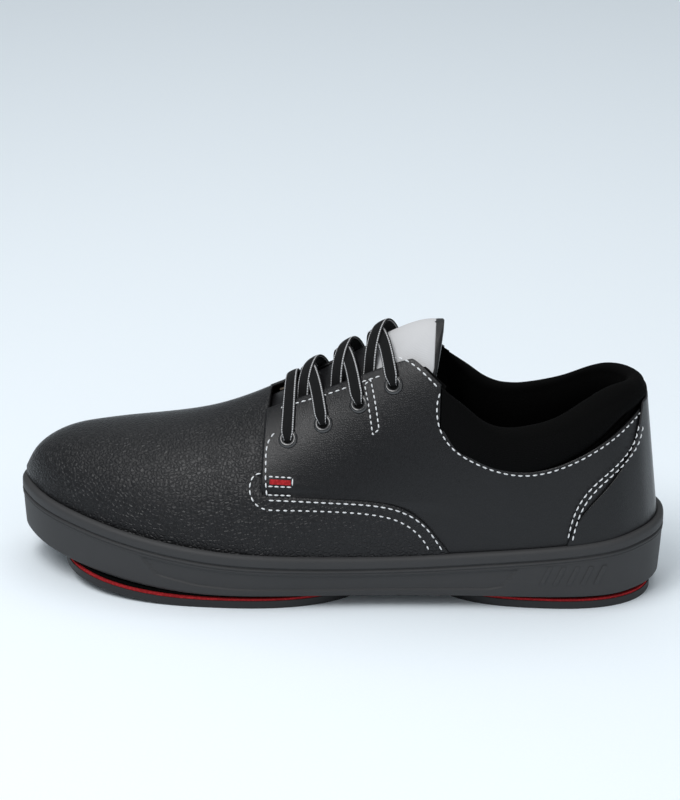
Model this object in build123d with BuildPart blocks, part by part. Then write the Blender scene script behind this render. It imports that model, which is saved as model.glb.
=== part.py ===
from build123d import *
import math
import os

os.makedirs("parts", exist_ok=True)

# One left shoe. Millimetres, +Z up, toe towards -X, heel towards +X, outer side towards -Y.
# Distances named "t" run from the heel end of the sole towards the toe.

# ---- driving dimensions -------------------------------------------------------------------
SOLE_LENGTH = 300.0          # overall length of the sole
WIDTH_SCALE = 1.0            # widens or narrows every outline
HEEL_LEAN = 7.0              # forward lean of the heel line, degrees
UPPER_INSET = 3.0            # step from the sole edge in to the upper
GROUND_TO_OUTSOLE = 6.0      # flat underside above the floor
FLOOR_Z = 14.0               # where the upper is lasted, inside the cup of the sole
LASTING_EDGE = 1.6           # lower edge of the upper plies above that
TOE_SPRING = 10.0            # rise of the underside at the toe tip
SPRING_START = 205.0         # t where the rise begins
CUP_CLEARANCE = 0.3          # between upper and cup

LEATHER = 1.8                # vamp and quarters
STIFFENER = 0.8              # toe puff, heel counter, facing stays
LINING = 0.8                 # lining fabric
PLY_GAP = 0.1                # glue line between plies
COLLAR_THICKNESS = 8.0       # padded collar, outside to inside
COLLAR_CLOTH = 1.2           # cloth round the collar foam

TONGUE_DEPTH = 7.0           # outer face of the tongue below the upper surface
TONGUE_LEATHER = 1.2
TONGUE_FOAM = 3.6
TONGUE_CLOTH = 0.8

DISC_THICKNESS = 3.6         # tread disc
HOOK_THICKNESS = 1.0         # red hook layer bonded on the disc
LOOP_THICKNESS = 1.0         # loop pad bonded under the sole
PAD_GAP = 0.3                # between hook layer and loop pad
HEX_PITCH = 8.0              # across flats plus groove
HEX_GROOVE = 1.3
HEX_DEPTH = 1.5
DISC_RIM = 4.5               # plain rim round the tread

EYELET_OUTER = 9.0
EYELET_HOLE = 4.4
EYELET_HEIGHT = 1.0
LACE_WIDTH = 6.5
LACE_THICKNESS = 1.2

HALF = SOLE_LENGTH / 2

# Stations of the shoe: t, outer half width, inner half width, ridge height, ridge side
# shift, roundness exponent of the arch.
STATIONS = [
    (0.3, 6.0, 6.0, 124.0, 0.0, 2.3),
    (2.0, 12.5, 12.5, 124.0, 0.0, 2.3),
    (5.0, 19.0, 19.0, 124.0, 0.0, 2.3),
    (10.0, 25.5, 25.5, 124.0, 0.0, 2.3),
    (19.0, 33.5, 33.0, 124.5, 0.0, 2.3),
    (32.0, 38.8, 37.8, 125.0, 0.0, 2.3),
    (50.0, 41.6, 40.0, 126.0, 0.0, 2.3),
    (72.0, 42.8, 40.0, 127.0, 0.0, 2.2),
    (95.0, 43.8, 39.5, 129.0, 1.0, 2.05),
    (110.0, 45.0, 39.6, 128.0, 2.0, 1.98),
    (125.0, 46.2, 40.0, 122.5, 2.5, 1.9),
    (145.0, 48.4, 41.5, 111.0, 2.5, 1.82),
    (165.0, 51.0, 44.0, 99.0, 2.5, 1.76),
    (180.0, 52.8, 46.8, 90.5, 2.0, 1.76),
    (195.0, 53.8, 49.8, 83.0, 2.0, 1.82),
    (210.0, 53.3, 52.0, 77.0, 1.8, 1.92),
    (225.0, 51.2, 53.0, 73.0, 1.2, 2.05),
    (240.0, 47.5, 52.0, 70.0, 2.0, 2.15),
    (253.0, 42.8, 48.8, 68.0, 3.0, 2.2),
    (265.0, 37.0, 44.0, 66.0, 4.0, 2.25),
    (275.0, 31.0, 39.3, 64.0, 4.5, 2.3),
    (284.0, 24.3, 33.0, 61.0, 4.5, 2.3),
    (291.0, 17.0, 25.2, 57.0, 4.0, 2.3),
    (296.0, 9.5, 17.0, 52.0, 3.5, 2.3),
    (299.2, 2.5, 9.0, 46.0, 3.0, 2.3),
]

# Side view lines: (t, z).
RIM = [(-6, 37), (0, 36.5), (30, 33.5), (60, 30.5), (100, 27), (140, 25.5), (180, 26.5),
       (220, 29.5), (260, 34.5), (300, 41), (308, 42.5)]
TOPLINE = [(-6, 104), (4, 104.5), (12, 104), (25, 99), (38, 92), (52, 87), (68, 85), (80, 88),
           (90, 94.5), (100, 100.5), (108, 106.5), (115, 111.5), (123, 114), (131, 112.5),
           (139, 107), (150, 112), (200, 130)]
COLLAR_SEAM = [(-6, 99.5), (5, 99), (11, 96.5), (18, 90), (30, 80.5), (45, 71.5), (60, 67),
               (68, 66.5), (77, 67.8), (90, 72.5), (98.4, 78), (102, 84)]
COLLAR_FRONT = [(102, 84), (103.8, 90), (103.5, 97), (101, 104), (99, 112)]
BACKSTAY_EDGE = [(14, 96), (15.5, 84), (17.5, 77), (21, 72.5), (27, 67.5), (33, 62.8), (38.5, 57),
                 (42, 51), (44.3, 44), (45.8, 36), (46.5, 10)]
WING_LINE = [(90, 8), (99.6, 28.9), (102.8, 33), (107.5, 39), (114.5, 45.2), (121.5, 48.6),
             (131, 50.5), (150, 51.4), (182, 52)]
# Facing edge in plan: (t, half width of the throat).
THROAT = [(182, 13.0), (165, 14.0), (145, 15.5), (125, 17.0), (100, 19.0)]
THROAT_Y = -0.5
EYELETS = [(173.0, 27.5), (157.2, 25.6), (141.2, 23.9), (125.8, 22.6)]

FOREFOOT_CENTRE = (206.0, -2.0)      # t, y
FOREFOOT_SIZE = (145.0, 98.0)
HEEL_CENTRE = (57.0, 0.0)
HEEL_SIZE = (104.0, 76.0)


def x_of(t):
    """X of a distance from the heel end."""
    return HALF - t * SOLE_LENGTH / 300.0


def spring(t):
    """Rise of the underside at t."""
    return TOE_SPRING * (max(0.0, t - SPRING_START) / (300.0 - SPRING_START)) ** 2


def arch_knots(steps=16):
    """Common spline parameters of every arch, so that the lofted surface stays small."""
    knots = [0.0]
    for step in range(steps):
        length = 0.0
        for power, height in ((2.3, 2.4), (1.8, 1.6), (2.2, 1.0)):
            a = math.pi * step / steps
            b = math.pi * (step + 1) / steps
            ya = math.copysign(abs(math.cos(a)) ** (2 / power), math.cos(a))
            yb = math.copysign(abs(math.cos(b)) ** (2 / power), math.cos(b))
            za = height * abs(math.sin(a)) ** (2 / power)
            zb = height * abs(math.sin(b)) ** (2 / power)
            length += math.hypot(yb - ya, zb - za) / (1 + height)
        knots.append(knots[-1] + length)
    return [knot / knots[-1] for knot in knots]


ARCH_KNOTS = arch_knots()


def upper_form(inset, drop=0.0):
    """Solid bounded by the upper surface moved inwards by inset; its floor is lowered by drop."""
    scale = 1 - (UPPER_INSET + inset) / 46.0
    length = 300.0 - 2 * (UPPER_INSET - 1.2) - 2 * inset
    with BuildPart() as body:
        for t, outer, inner, ridge, shift, power in STATIONS:
            lean = math.radians(HEEL_LEAN * max(0.0, 1 - t / 110.0))
            along = UPPER_INSET - 1.2 + inset + t * length / 300.0
            floor = FLOOR_Z + spring(t) - drop
            plane = Plane(origin=(x_of(along), 0, floor), x_dir=(0, 1, 0),
                          z_dir=(math.cos(lean), 0, math.sin(lean)))
            points = []
            for step in range(17):
                angle = math.pi * step / 16
                side = outer if step < 8 else inner
                reach = abs(math.cos(angle)) ** (2 / power)
                half = side * scale * WIDTH_SCALE + (shift if step < 8 else -shift)
                y = shift + (-half if step < 8 else half) * reach
                z = (ridge - inset - floor) * math.sin(angle) ** (2 / power)
                points.append((y, max(z, 0.0)))
            with BuildSketch(plane) as section:
                with BuildLine():
                    add(Edge.make_spline([Vector(*point) for point in points], parameters=ARCH_KNOTS))
                    Line(points[-1], points[0])
                make_face()
        loft()
    return body.part


def side_block(low, high, y_from=-80.0, y_to=80.0):
    """Block between two side view lines, across the shoe from y_from to y_to."""
    with BuildPart() as block:
        with BuildSketch(Plane.XZ.offset(-y_to)) as profile:
            with BuildLine():
                lower = [(x_of(t), z) for t, z in low]
                upper = [(x_of(t), z) for t, z in high]
                Spline(*lower)
                Spline(*upper)
                Line(lower[0], upper[0])
                Line(lower[-1], upper[-1])
            make_face()
        extrude(amount=y_to - y_from)
    return block.part


def side_shape(lines, y_from=-80.0, y_to=80.0):
    """Block from a closed chain of side view lines, each a list of two or more points."""
    with BuildPart() as block:
        with BuildSketch(Plane.XZ.offset(-y_to)) as profile:
            with BuildLine():
                for line in lines:
                    points = [(x_of(t), z) for t, z in line]
                    if len(points) == 2:
                        Line(*points)
                    else:
                        Spline(*points)
            make_face()
        extrude(amount=y_to - y_from)
    return block.part


def sprung_block(low, high):
    """Block between two heights, level at the heel and rising at the toe on a circular arc."""
    middle = (SPRING_START + 310.0) / 2
    with BuildPart() as block:
        with BuildSketch(Plane.XZ.offset(-80.0)) as profile:
            with BuildLine():
                for height in (low, high):
                    Line((x_of(-10), height), (x_of(SPRING_START), height))
                    ThreePointArc((x_of(SPRING_START), height), (x_of(middle), height + spring(middle)),
                                  (x_of(310), height + spring(310)))
                Line((x_of(-10), low), (x_of(-10), high))
                Line((x_of(310), low + spring(310)), (x_of(310), high + spring(310)))
            make_face()
        extrude(amount=160.0)
    return block.part


def outline_points(scale_inset):
    """Closed plan outline of the sole, moved inwards by scale_inset."""
    scale = 1 - scale_inset / 48.0
    length = 300.0 - 2 * scale_inset
    rows = [(t, a, b) for t, a, b, _, _, _ in STATIONS]
    outer = []
    inner = []
    for t, a, b in rows:
        x = x_of(scale_inset + t * length / 300.0)
        outer.append((x, -a * scale * WIDTH_SCALE))
        inner.append((x, b * scale * WIDTH_SCALE))
    heel = [(x_of(scale_inset), 0.0)]
    toe = [(x_of(300.0 - scale_inset), 3.0)]
    return heel + outer + toe + inner[::-1]


def sole_prism(inset, top, bottom=-5.0, flare=0.0):
    """Prism of the sole outline, its foot drawn in by flare."""
    with BuildPart() as prism:
        with BuildSketch(Plane.XY.offset(bottom)):
            with BuildLine():
                Spline(*outline_points(inset + flare), periodic=True)
            make_face()
        with BuildSketch(Plane.XY.offset(top)):
            with BuildLine():
                Spline(*outline_points(inset), periodic=True)
            make_face()
        loft()
    return prism.part


def disc_outline(centre, size, inset, power=2.5):
    """Plan points of a tread disc."""
    points = []
    for step in range(40):
        angle = 2 * math.pi * step / 40
        c = math.cos(angle)
        s = math.sin(angle)
        x = math.copysign(abs(c) ** (2 / power), c) * (size[0] / 2 - inset)
        y = math.copysign(abs(s) ** (2 / power), s) * (size[1] / 2 - inset) * WIDTH_SCALE
        points.append((x_of(centre[0]) + x, centre[1] + y))
    return points


def disc_prism(centre, size, inset, bottom=-2.0, top=30.0):
    """Upright prism of a disc outline."""
    with BuildPart() as prism:
        with BuildSketch(Plane.XY.offset(bottom)):
            with BuildLine():
                Spline(*disc_outline(centre, size, inset), periodic=True)
            make_face()
        extrude(amount=top - bottom)
    return prism.part


def hex_field(centre, size):
    """Upright prisms of the tread hexagons inside the rim of a disc."""
    across = HEX_PITCH - HEX_GROOVE
    count_x = int(size[0] / HEX_PITCH) + 3
    count_y = int(size[1] / (HEX_PITCH * 0.866)) + 3
    spots = []
    for row in range(-count_y // 2, count_y // 2 + 1):
        for column in range(-count_x // 2, count_x // 2 + 1):
            x = (column + 0.5 * (row % 2)) * HEX_PITCH
            y = row * HEX_PITCH * math.sqrt(3) / 2
            spots.append((x_of(centre[0]) + x, centre[1] + y))
    with BuildPart() as field:
        with BuildSketch(Plane.XY.offset(-2.0)):
            with Locations(*spots):
                RegularPolygon(radius=across / 2, side_count=6, major_radius=False, rotation=30)
            with BuildLine():
                Spline(*disc_outline(centre, size, DISC_RIM), periodic=True)
            make_face(mode=Mode.INTERSECT)
        extrude(amount=30.0)
    return field.part


def surface_spot(t, y):
    """Point and outward direction of the upper surface above a plan position."""
    axis = Axis((x_of(t), y, 0.0), (0, 0, 1))
    hits = sorted(OUTER.find_intersection_points(axis), key=lambda hit: hit[0].Z)
    point, normal = hits[-1]
    if normal.Z < 0:
        normal = -normal
    return point, normal


def spot_cylinder(t, y, radius, low, high):
    """Cylinder standing on the upper surface, from low to high along its outward direction."""
    point, normal = surface_spot(t, y)
    with BuildPart() as pin:
        with BuildSketch(Plane(origin=point + normal * low, z_dir=normal)):
            Circle(radius)
        extrude(amount=high - low)
    return pin.part


def plan_prism(points, bottom=30.0, top=150.0):
    """Upright prism of a closed plan polygon given as (t, y)."""
    with BuildPart() as prism:
        with BuildSketch(Plane.XY.offset(bottom)):
            with BuildLine():
                Polyline(*[(x_of(t), y) for t, y in points], close=True)
            make_face()
        extrude(amount=top - bottom)
    return prism.part


def throat_prism(inset=0.0, front=0.0):
    """Prism of the opening between the facings, narrowed by inset."""
    far = [(t, THROAT_Y + w - inset) for t, w in THROAT]
    near = [(t, THROAT_Y - w + inset) for t, w in THROAT]
    start = THROAT[0][0] + front
    return plan_prism([(start, near[0][1])] + near[1:] + far[:0:-1] + [(start, far[0][1])])


def eyelet_spot(index, side):
    """Plan position of an eyelet; side is -1 for the outer row and +1 for the inner row."""
    t, half = EYELETS[index]
    return t, THROAT_Y + side * half


def lace_ribbon(start, end, width=LACE_WIDTH):
    """Flat lace from one eyelet across the throat and under the far facing to the next eyelet."""
    along = math.hypot(end[0] - start[0], end[1] - start[1])
    edge = throat_crossing(start, end)
    over = 1.25 + LACE_THICKNESS / 2
    under = -(LEATHER + STIFFENER + LINING + 2 * PLY_GAP + 0.2 + LACE_THICKNESS / 2)
    if edge is None:
        steps = [(-0.5 + (along + 1.0) * i / 8, over) for i in range(9)]
    else:
        first = [(-0.5 + (edge - 7.0) * i / 4, over) for i in range(5)]
        dip = [(edge - 5.4, over - 0.6), (edge - 3.8, over - 2.0), (edge - 2.3, over - 4.0),
               (edge - 0.8, under + 0.4), (edge + 1.2, under)]
        steps = first + dip + [((edge + 1.2 + along) / 2, under), (along + 0.5, under)]
    centres = []
    normals = []
    for distance, height in steps:
        part = distance / along
        point, normal = surface_spot(start[0] + (end[0] - start[0]) * part,
                                     start[1] + (end[1] - start[1]) * part)
        centres.append(point + normal * height)
        normals.append(normal)
    with BuildPart() as ribbon:
        for i, centre in enumerate(centres):
            ahead = centres[min(i + 1, len(centres) - 1)]
            behind = centres[max(i - 1, 0)]
            tangent = (ahead - behind).normalized()
            across = normals[i].cross(tangent).normalized()
            with BuildSketch(Plane(origin=centre, x_dir=across, z_dir=tangent)):
                Rectangle(width, LACE_THICKNESS)
        loft(ruled=True)
    return ribbon.part


def throat_crossing(start, end):
    """Distance along a run at which it meets the far edge of the throat; None for a straight bar."""
    if abs(start[0] - end[0]) < 1.0:
        return None
    along = math.hypot(end[0] - start[0], end[1] - start[1])
    side = 1 if end[1] > start[1] else -1
    for i in range(200):
        part = i / 200
        t = start[0] + (end[0] - start[0]) * part
        y = start[1] + (end[1] - start[1]) * part
        if side * (y - THROAT_Y) >= throat_half(t):
            return part * along
    return along


def throat_half(t):
    """Half width of the throat at t."""
    for (t0, w0), (t1, w1) in zip(THROAT, THROAT[1:]):
        if t1 <= t <= t0:
            return w0 + (w1 - w0) * (t0 - t) / (t0 - t1)
    return THROAT[0][1]


# ---- shared forms -------------------------------------------------------------------------
LINING_DEPTH = LEATHER + STIFFENER + LINING + 2 * PLY_GAP
OUTER = upper_form(0.0)
LEATHER_IN = upper_form(LEATHER)
STIFF_OUT = upper_form(LEATHER + PLY_GAP)
STIFF_IN = upper_form(LEATHER + PLY_GAP + STIFFENER)
LINING_OUT = upper_form(LINING_DEPTH - LINING)
LINING_IN = upper_form(LINING_DEPTH)
BED_FORM = upper_form(LINING_DEPTH + 2 * PLY_GAP)
COLLAR_IN = upper_form(COLLAR_THICKNESS)
FOAM_OUT = upper_form(COLLAR_CLOTH + PLY_GAP)
FOAM_IN = upper_form(COLLAR_THICKNESS - COLLAR_CLOTH - PLY_GAP)
TONGUE_OUT = upper_form(TONGUE_DEPTH)
TONGUE_A = upper_form(TONGUE_DEPTH + TONGUE_LEATHER)
TONGUE_B = upper_form(TONGUE_DEPTH + TONGUE_LEATHER + PLY_GAP)
TONGUE_C = upper_form(TONGUE_DEPTH + TONGUE_LEATHER + PLY_GAP + TONGUE_FOAM)
TONGUE_D = upper_form(TONGUE_DEPTH + TONGUE_LEATHER + 2 * PLY_GAP + TONGUE_FOAM)
TONGUE_E = upper_form(TONGUE_DEPTH + TONGUE_LEATHER + 2 * PLY_GAP + TONGUE_FOAM + TONGUE_CLOTH)
LABEL_OUT = upper_form(TONGUE_DEPTH - 1.0)
LABEL_IN = upper_form(TONGUE_DEPTH - PLY_GAP)
CUP_FORM = upper_form(-CUP_CLEARANCE, drop=CUP_CLEARANCE)
OVERLAY_OUT = upper_form(-1.3)
OVERLAY_IN = upper_form(-PLY_GAP)

ABOVE_LASTING = sprung_block(FLOOR_Z + LASTING_EDGE, 140.0)
LEATHER_SHELL = (OUTER & ABOVE_LASTING) - LEATHER_IN
STIFF_SHELL = (STIFF_OUT & ABOVE_LASTING) - STIFF_IN
LINING_SHELL = (LINING_OUT & ABOVE_LASTING) - LINING_IN

BELOW_TOPLINE = side_block([(-6, 0), (100, 0), (200, 0)], TOPLINE)
BELOW_FOAM_TOP = side_block([(-6, 0), (100, 0), (200, 0)], [(t, z - 1.4) for t, z in TOPLINE])
COLLAR_BAND = side_shape([COLLAR_SEAM, COLLAR_FRONT, [(99, 112), (99, 150)], [(99, 150), (-6, 150)],
                          [(-6, 150), (-6, 99.5)]])
FOAM_BAND = side_shape([[(t - 0.4, z + 0.5) for t, z in COLLAR_SEAM],
                        [(101.6, 84.5), (103.0, 90), (102.7, 97), (100.0, 104), (98, 112)],
                        [(98, 112), (98, 150)], [(98, 150), (-6.4, 150)], [(-6.4, 150), (-6.4, 100)]])
VAMP_ZONE = side_shape([WING_LINE, [(182, 52), (182, 140)], [(182, 140), (320, 140)],
                        [(320, 140), (320, 0)], [(320, 0), (90, 0)], [(90, 0), (90, 8)]])
BEHIND_WING = side_shape([[(t - 0.2, z + 0.2) for t, z in WING_LINE], [(181.8, 52.2), (181.8, 150)],
                          [(181.8, 150), (-10, 150)], [(-10, 150), (-10, 0)], [(-10, 0), (89.8, 0)],
                          [(89.8, 0), (89.8, 8.2)]])
THROAT_CUT = throat_prism(front=3.0)
OUTER_HALF = plan_prism([(-20, -80), (320, -80), (320, -0.1), (-20, -0.1)], 0.0)
INNER_HALF = plan_prism([(-20, 0.1), (320, 0.1), (320, 80), (-20, 80)], 0.0)

# ---- sole ---------------------------------------------------------------------------------
SOLE_SKIN = sole_prism(-3.0, 60.0)

with BuildPart() as cupsole:
    add(sole_prism(-1.2, 60.0, flare=3.2))
    add(sprung_block(GROUND_TO_OUTSOLE, 60.0), mode=Mode.INTERSECT)
    add(side_block([(-10, 0), (100, 0), (310, 0)], RIM), mode=Mode.INTERSECT)
    add(CUP_FORM, mode=Mode.SUBTRACT)
    # groove round the side wall, under the rim band
    add((SOLE_SKIN - sole_prism(-0.1, 60.0, flare=3.2))
        & side_block([(t, z - 6.2) for t, z in RIM], [(t, z - 5.1) for t, z in RIM]),
        mode=Mode.SUBTRACT)
    # shallow side panels
    PANEL = side_shape([[(64.6, 24), (69, 17), (73.5, 11), (78, 9.8), (100, 9.4), (150, 9.3),
                         (193, 9.6), (213, 10.8), (231, 13.6), (238, 19), (240, 24.5)],
                        [(240, 24.5), (220, 22.0), (180, 18.7), (140, 17.7), (100, 19.3), (64.6, 24)]])
    add((SOLE_SKIN - sole_prism(-0.5, 60.0, flare=3.2)) & PANEL, mode=Mode.SUBTRACT)

with BuildPart() as midsole_filler:
    add(BED_FORM)
    add(sprung_block(FLOOR_Z + 0.2, FLOOR_Z + 5.0), mode=Mode.INTERSECT)

with BuildPart() as shank:
    with BuildSketch(Plane.XY.offset(FLOOR_Z + 5.1)) as strip:
        with Locations((x_of(118), 1.0)):
            SlotOverall(100.0, 14.0)
    extrude(amount=1.2)

with BuildPart() as insole_board:
    add(BED_FORM)
    add(sprung_block(FLOOR_Z + 6.4, FLOOR_Z + 8.2), mode=Mode.INTERSECT)

with BuildPart() as footbed:
    add(BED_FORM)
    add(sprung_block(FLOOR_Z + 8.3, FLOOR_Z + 12.6), mode=Mode.INTERSECT)

with BuildPart() as footbed_cover:
    add(BED_FORM)
    add(sprung_block(FLOOR_Z + 12.7, FLOOR_Z + 13.5), mode=Mode.INTERSECT)

# ---- interchangeable discs ----------------------------------------------------------------
LOOP_TOP = GROUND_TO_OUTSOLE - 0.05
LOOP_LOW = LOOP_TOP - LOOP_THICKNESS
HOOK_TOP = LOOP_LOW - PAD_GAP
HOOK_LOW = HOOK_TOP - HOOK_THICKNESS
DISC_TOP = HOOK_LOW - 0.05

with BuildPart() as forefoot_loop_pad:
    add(disc_prism(FOREFOOT_CENTRE, FOREFOOT_SIZE, 1.5))
    add(sprung_block(LOOP_LOW, LOOP_TOP), mode=Mode.INTERSECT)

with BuildPart() as heel_loop_pad:
    add(disc_prism(HEEL_CENTRE, HEEL_SIZE, 1.5))
    add(sprung_block(LOOP_LOW, LOOP_TOP), mode=Mode.INTERSECT)

with BuildPart() as forefoot_hook_layer:
    add(disc_prism(FOREFOOT_CENTRE, FOREFOOT_SIZE, 0.4))
    add(sprung_block(HOOK_LOW, HOOK_TOP), mode=Mode.INTERSECT)

with BuildPart() as heel_hook_layer:
    add(disc_prism(HEEL_CENTRE, HEEL_SIZE, 0.4))
    add(sprung_block(HOOK_LOW, HOOK_TOP), mode=Mode.INTERSECT)

with BuildPart() as forefoot_tread_disc:
    add(disc_prism(FOREFOOT_CENTRE, FOREFOOT_SIZE, DISC_RIM), mode=Mode.ADD)
    add(hex_field(FOREFOOT_CENTRE, FOREFOOT_SIZE), mode=Mode.SUBTRACT)
    add(sprung_block(-5.0, HEX_DEPTH), mode=Mode.INTERSECT)
    GROOVES = forefoot_tread_disc.part
    add(disc_prism(FOREFOOT_CENTRE, FOREFOOT_SIZE, 0.0), mode=Mode.ADD)
    add(sprung_block(0.0, DISC_TOP), mode=Mode.INTERSECT)
    add(GROOVES, mode=Mode.SUBTRACT)

with BuildPart() as heel_tread_disc:
    add(disc_prism(HEEL_CENTRE, HEEL_SIZE, DISC_RIM), mode=Mode.ADD)
    add(hex_field(HEEL_CENTRE, HEEL_SIZE), mode=Mode.SUBTRACT)
    add(sprung_block(-5.0, HEX_DEPTH), mode=Mode.INTERSECT)
    GROOVES = heel_tread_disc.part
    add(disc_prism(HEEL_CENTRE, HEEL_SIZE, 0.0), mode=Mode.ADD)
    add(sprung_block(0.0, DISC_TOP), mode=Mode.INTERSECT)
    add(GROOVES, mode=Mode.SUBTRACT)

# ---- eyelet tools -------------------------------------------------------------------------
OUTER_HOLES = [spot_cylinder(*eyelet_spot(i, -1), EYELET_HOLE / 2, -7.0, 3.0) for i in range(4)]
INNER_HOLES = [spot_cylinder(*eyelet_spot(i, 1), EYELET_HOLE / 2, -7.0, 3.0) for i in range(4)]

# ---- upper --------------------------------------------------------------------------------
with BuildPart() as vamp:
    add(LEATHER_SHELL)
    add(VAMP_ZONE, mode=Mode.INTERSECT)
    add(THROAT_CUT, mode=Mode.SUBTRACT)

QUARTERS = (LEATHER_SHELL & BELOW_TOPLINE & BEHIND_WING) - COLLAR_BAND - throat_prism(front=1.0)

with BuildPart() as lateral_quarter:
    add(QUARTERS)
    add(OUTER_HALF, mode=Mode.INTERSECT)
    for hole in OUTER_HOLES:
        add(hole, mode=Mode.SUBTRACT)

with BuildPart() as medial_quarter:
    add(QUARTERS)
    add(INNER_HALF, mode=Mode.INTERSECT)
    for hole in INNER_HOLES:
        add(hole, mode=Mode.SUBTRACT)

with BuildPart() as backstay:
    add(OVERLAY_OUT - OVERLAY_IN)
    add(side_shape([BACKSTAY_EDGE, [(46.5, 10), (46.5, 0)], [(46.5, 0), (-10, 0)], [(-10, 0), (-10, 96)],
                    [(-10, 96), (14, 96)]]), mode=Mode.INTERSECT)
    add(COLLAR_BAND, mode=Mode.SUBTRACT)
    add(side_block([(-10, 0), (100, 0), (200, 0)], [(t, z + 0.3) for t, z in RIM]), mode=Mode.SUBTRACT)

with BuildPart() as toe_puff:
    add(STIFF_SHELL)
    add(plan_prism([(248, -80), (320, -80), (320, 80), (248, 80)], 0.0), mode=Mode.INTERSECT)

with BuildPart() as heel_counter:
    add(STIFF_SHELL)
    add(side_shape([[(72, 0), (72, 52), (60, 58), (45, 62), (25, 72), (5, 84), (-10, 86)],
                    [(-10, 86), (-10, 0)], [(-10, 0), (72, 0)]]), mode=Mode.INTERSECT)

with BuildPart() as lateral_facing_stay:
    add(STIFF_SHELL)
    add(side_block([(112, 64), (140, 60), (180, 54)], [(112, 140), (140, 140), (180, 140)]),
        mode=Mode.INTERSECT)
    add(BELOW_TOPLINE, mode=Mode.INTERSECT)
    add(plan_prism([(180, -29), (165, -31), (145, -31), (118, -31), (118, 0), (180, 0)]),
        mode=Mode.INTERSECT)
    add(throat_prism(inset=-0.6, front=3.0), mode=Mode.SUBTRACT)
    for hole in OUTER_HOLES:
        add(hole, mode=Mode.SUBTRACT)

with BuildPart() as medial_facing_stay:
    add(STIFF_SHELL)
    add(side_block([(112, 64), (140, 60), (180, 54)], [(112, 140), (140, 140), (180, 140)]),
        mode=Mode.INTERSECT)
    add(BELOW_TOPLINE, mode=Mode.INTERSECT)
    add(plan_prism([(180, 31), (165, 33), (145, 33), (118, 33), (118, 2), (180, 2)]),
        mode=Mode.INTERSECT)
    add(throat_prism(inset=-0.6, front=3.0), mode=Mode.SUBTRACT)
    for hole in INNER_HOLES:
        add(hole, mode=Mode.SUBTRACT)

with BuildPart() as vamp_lining:
    add(LINING_SHELL)
    add(plan_prism([(152, -80), (320, -80), (320, 80), (152, 80)], 0.0), mode=Mode.INTERSECT)
    add(throat_prism(inset=-0.4, front=3.4), mode=Mode.SUBTRACT)
    for hole in OUTER_HOLES + INNER_HOLES:
        add(hole, mode=Mode.SUBTRACT)

with BuildPart() as quarter_lining:
    add(LINING_SHELL)
    add(plan_prism([(-10, -80), (151.8, -80), (151.8, 80), (-10, 80)], 0.0), mode=Mode.INTERSECT)
    add(BELOW_TOPLINE, mode=Mode.INTERSECT)
    add(COLLAR_BAND, mode=Mode.SUBTRACT)
    add(throat_prism(inset=-0.4, front=3.4), mode=Mode.SUBTRACT)
    for hole in OUTER_HOLES + INNER_HOLES:
        add(hole, mode=Mode.SUBTRACT)

# ---- collar -------------------------------------------------------------------------------
with BuildPart() as collar_foam:
    add(FOAM_OUT - FOAM_IN)
    add(FOAM_BAND, mode=Mode.INTERSECT)
    add(BELOW_FOAM_TOP, mode=Mode.INTERSECT)

with BuildPart() as collar_cover:
    add(OUTER - COLLAR_IN)
    add(COLLAR_BAND, mode=Mode.INTERSECT)
    add(BELOW_TOPLINE, mode=Mode.INTERSECT)
    add((upper_form(COLLAR_CLOTH) - upper_form(COLLAR_THICKNESS - COLLAR_CLOTH)) & FOAM_BAND
        & side_block([(-6, 0), (100, 0), (200, 0)], [(t, z - 1.3) for t, z in TOPLINE]),
        mode=Mode.SUBTRACT)

# ---- tongue -------------------------------------------------------------------------------
TONGUE_PLAN = plan_prism([(187, -18), (175, -21), (150, -25), (125, -28), (112, -27), (107, -22),
                          (105.5, -12), (105, 1), (105.5, 14), (107, 24), (112, 29), (125, 30),
                          (150, 27), (175, 23), (187, 20)], 55.0)
LABEL_PLAN = plan_prism([(137, -10.5), (111, -11.5), (111, 10.5), (137, 9.5)], 55.0)

with BuildPart() as tongue_leather:
    add(TONGUE_OUT - TONGUE_A)
    add(TONGUE_PLAN, mode=Mode.INTERSECT)

with BuildPart() as tongue_foam:
    add(TONGUE_B - TONGUE_C)
    add(plan_prism([(183, -16), (175, -18), (150, -22), (125, -25), (113, -24), (108.5, -19),
                    (107, 1), (108.5, 21), (113, 26), (125, 27), (150, 24), (175, 20), (183, 18)], 55.0),
        mode=Mode.INTERSECT)

with BuildPart() as tongue_lining:
    add(TONGUE_D - TONGUE_E)
    add(TONGUE_PLAN, mode=Mode.INTERSECT)

with BuildPart() as tongue_label:
    add(LABEL_OUT - LABEL_IN)
    add(LABEL_PLAN, mode=Mode.INTERSECT)

# ---- eyelets and lace ---------------------------------------------------------------------
with BuildPart() as lateral_eyelets:
    for i in range(4):
        add(spot_cylinder(*eyelet_spot(i, -1), EYELET_OUTER / 2, 0.05, 0.6))
        add(spot_cylinder(*eyelet_spot(i, -1), EYELET_HOLE / 2 - 0.05, -LINING_DEPTH, 0.3))
    for i in range(4):
        add(spot_cylinder(*eyelet_spot(i, -1), EYELET_HOLE / 2 - 0.45, -7.0, 3.0), mode=Mode.SUBTRACT)

with BuildPart() as medial_eyelets:
    for i in range(4):
        add(spot_cylinder(*eyelet_spot(i, 1), EYELET_OUTER / 2, 0.05, 0.6))
        add(spot_cylinder(*eyelet_spot(i, 1), EYELET_HOLE / 2 - 0.05, -LINING_DEPTH, 0.3))
    for i in range(4):
        add(spot_cylinder(*eyelet_spot(i, 1), EYELET_HOLE / 2 - 0.45, -7.0, 3.0), mode=Mode.SUBTRACT)

RUNS = [(0, 0, -1)] + [(i, i - 1, side) for i in (1, 2, 3) for side in (-1, 1)]
LACE_PLUG = EYELET_HOLE / 2 - 0.65

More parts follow.
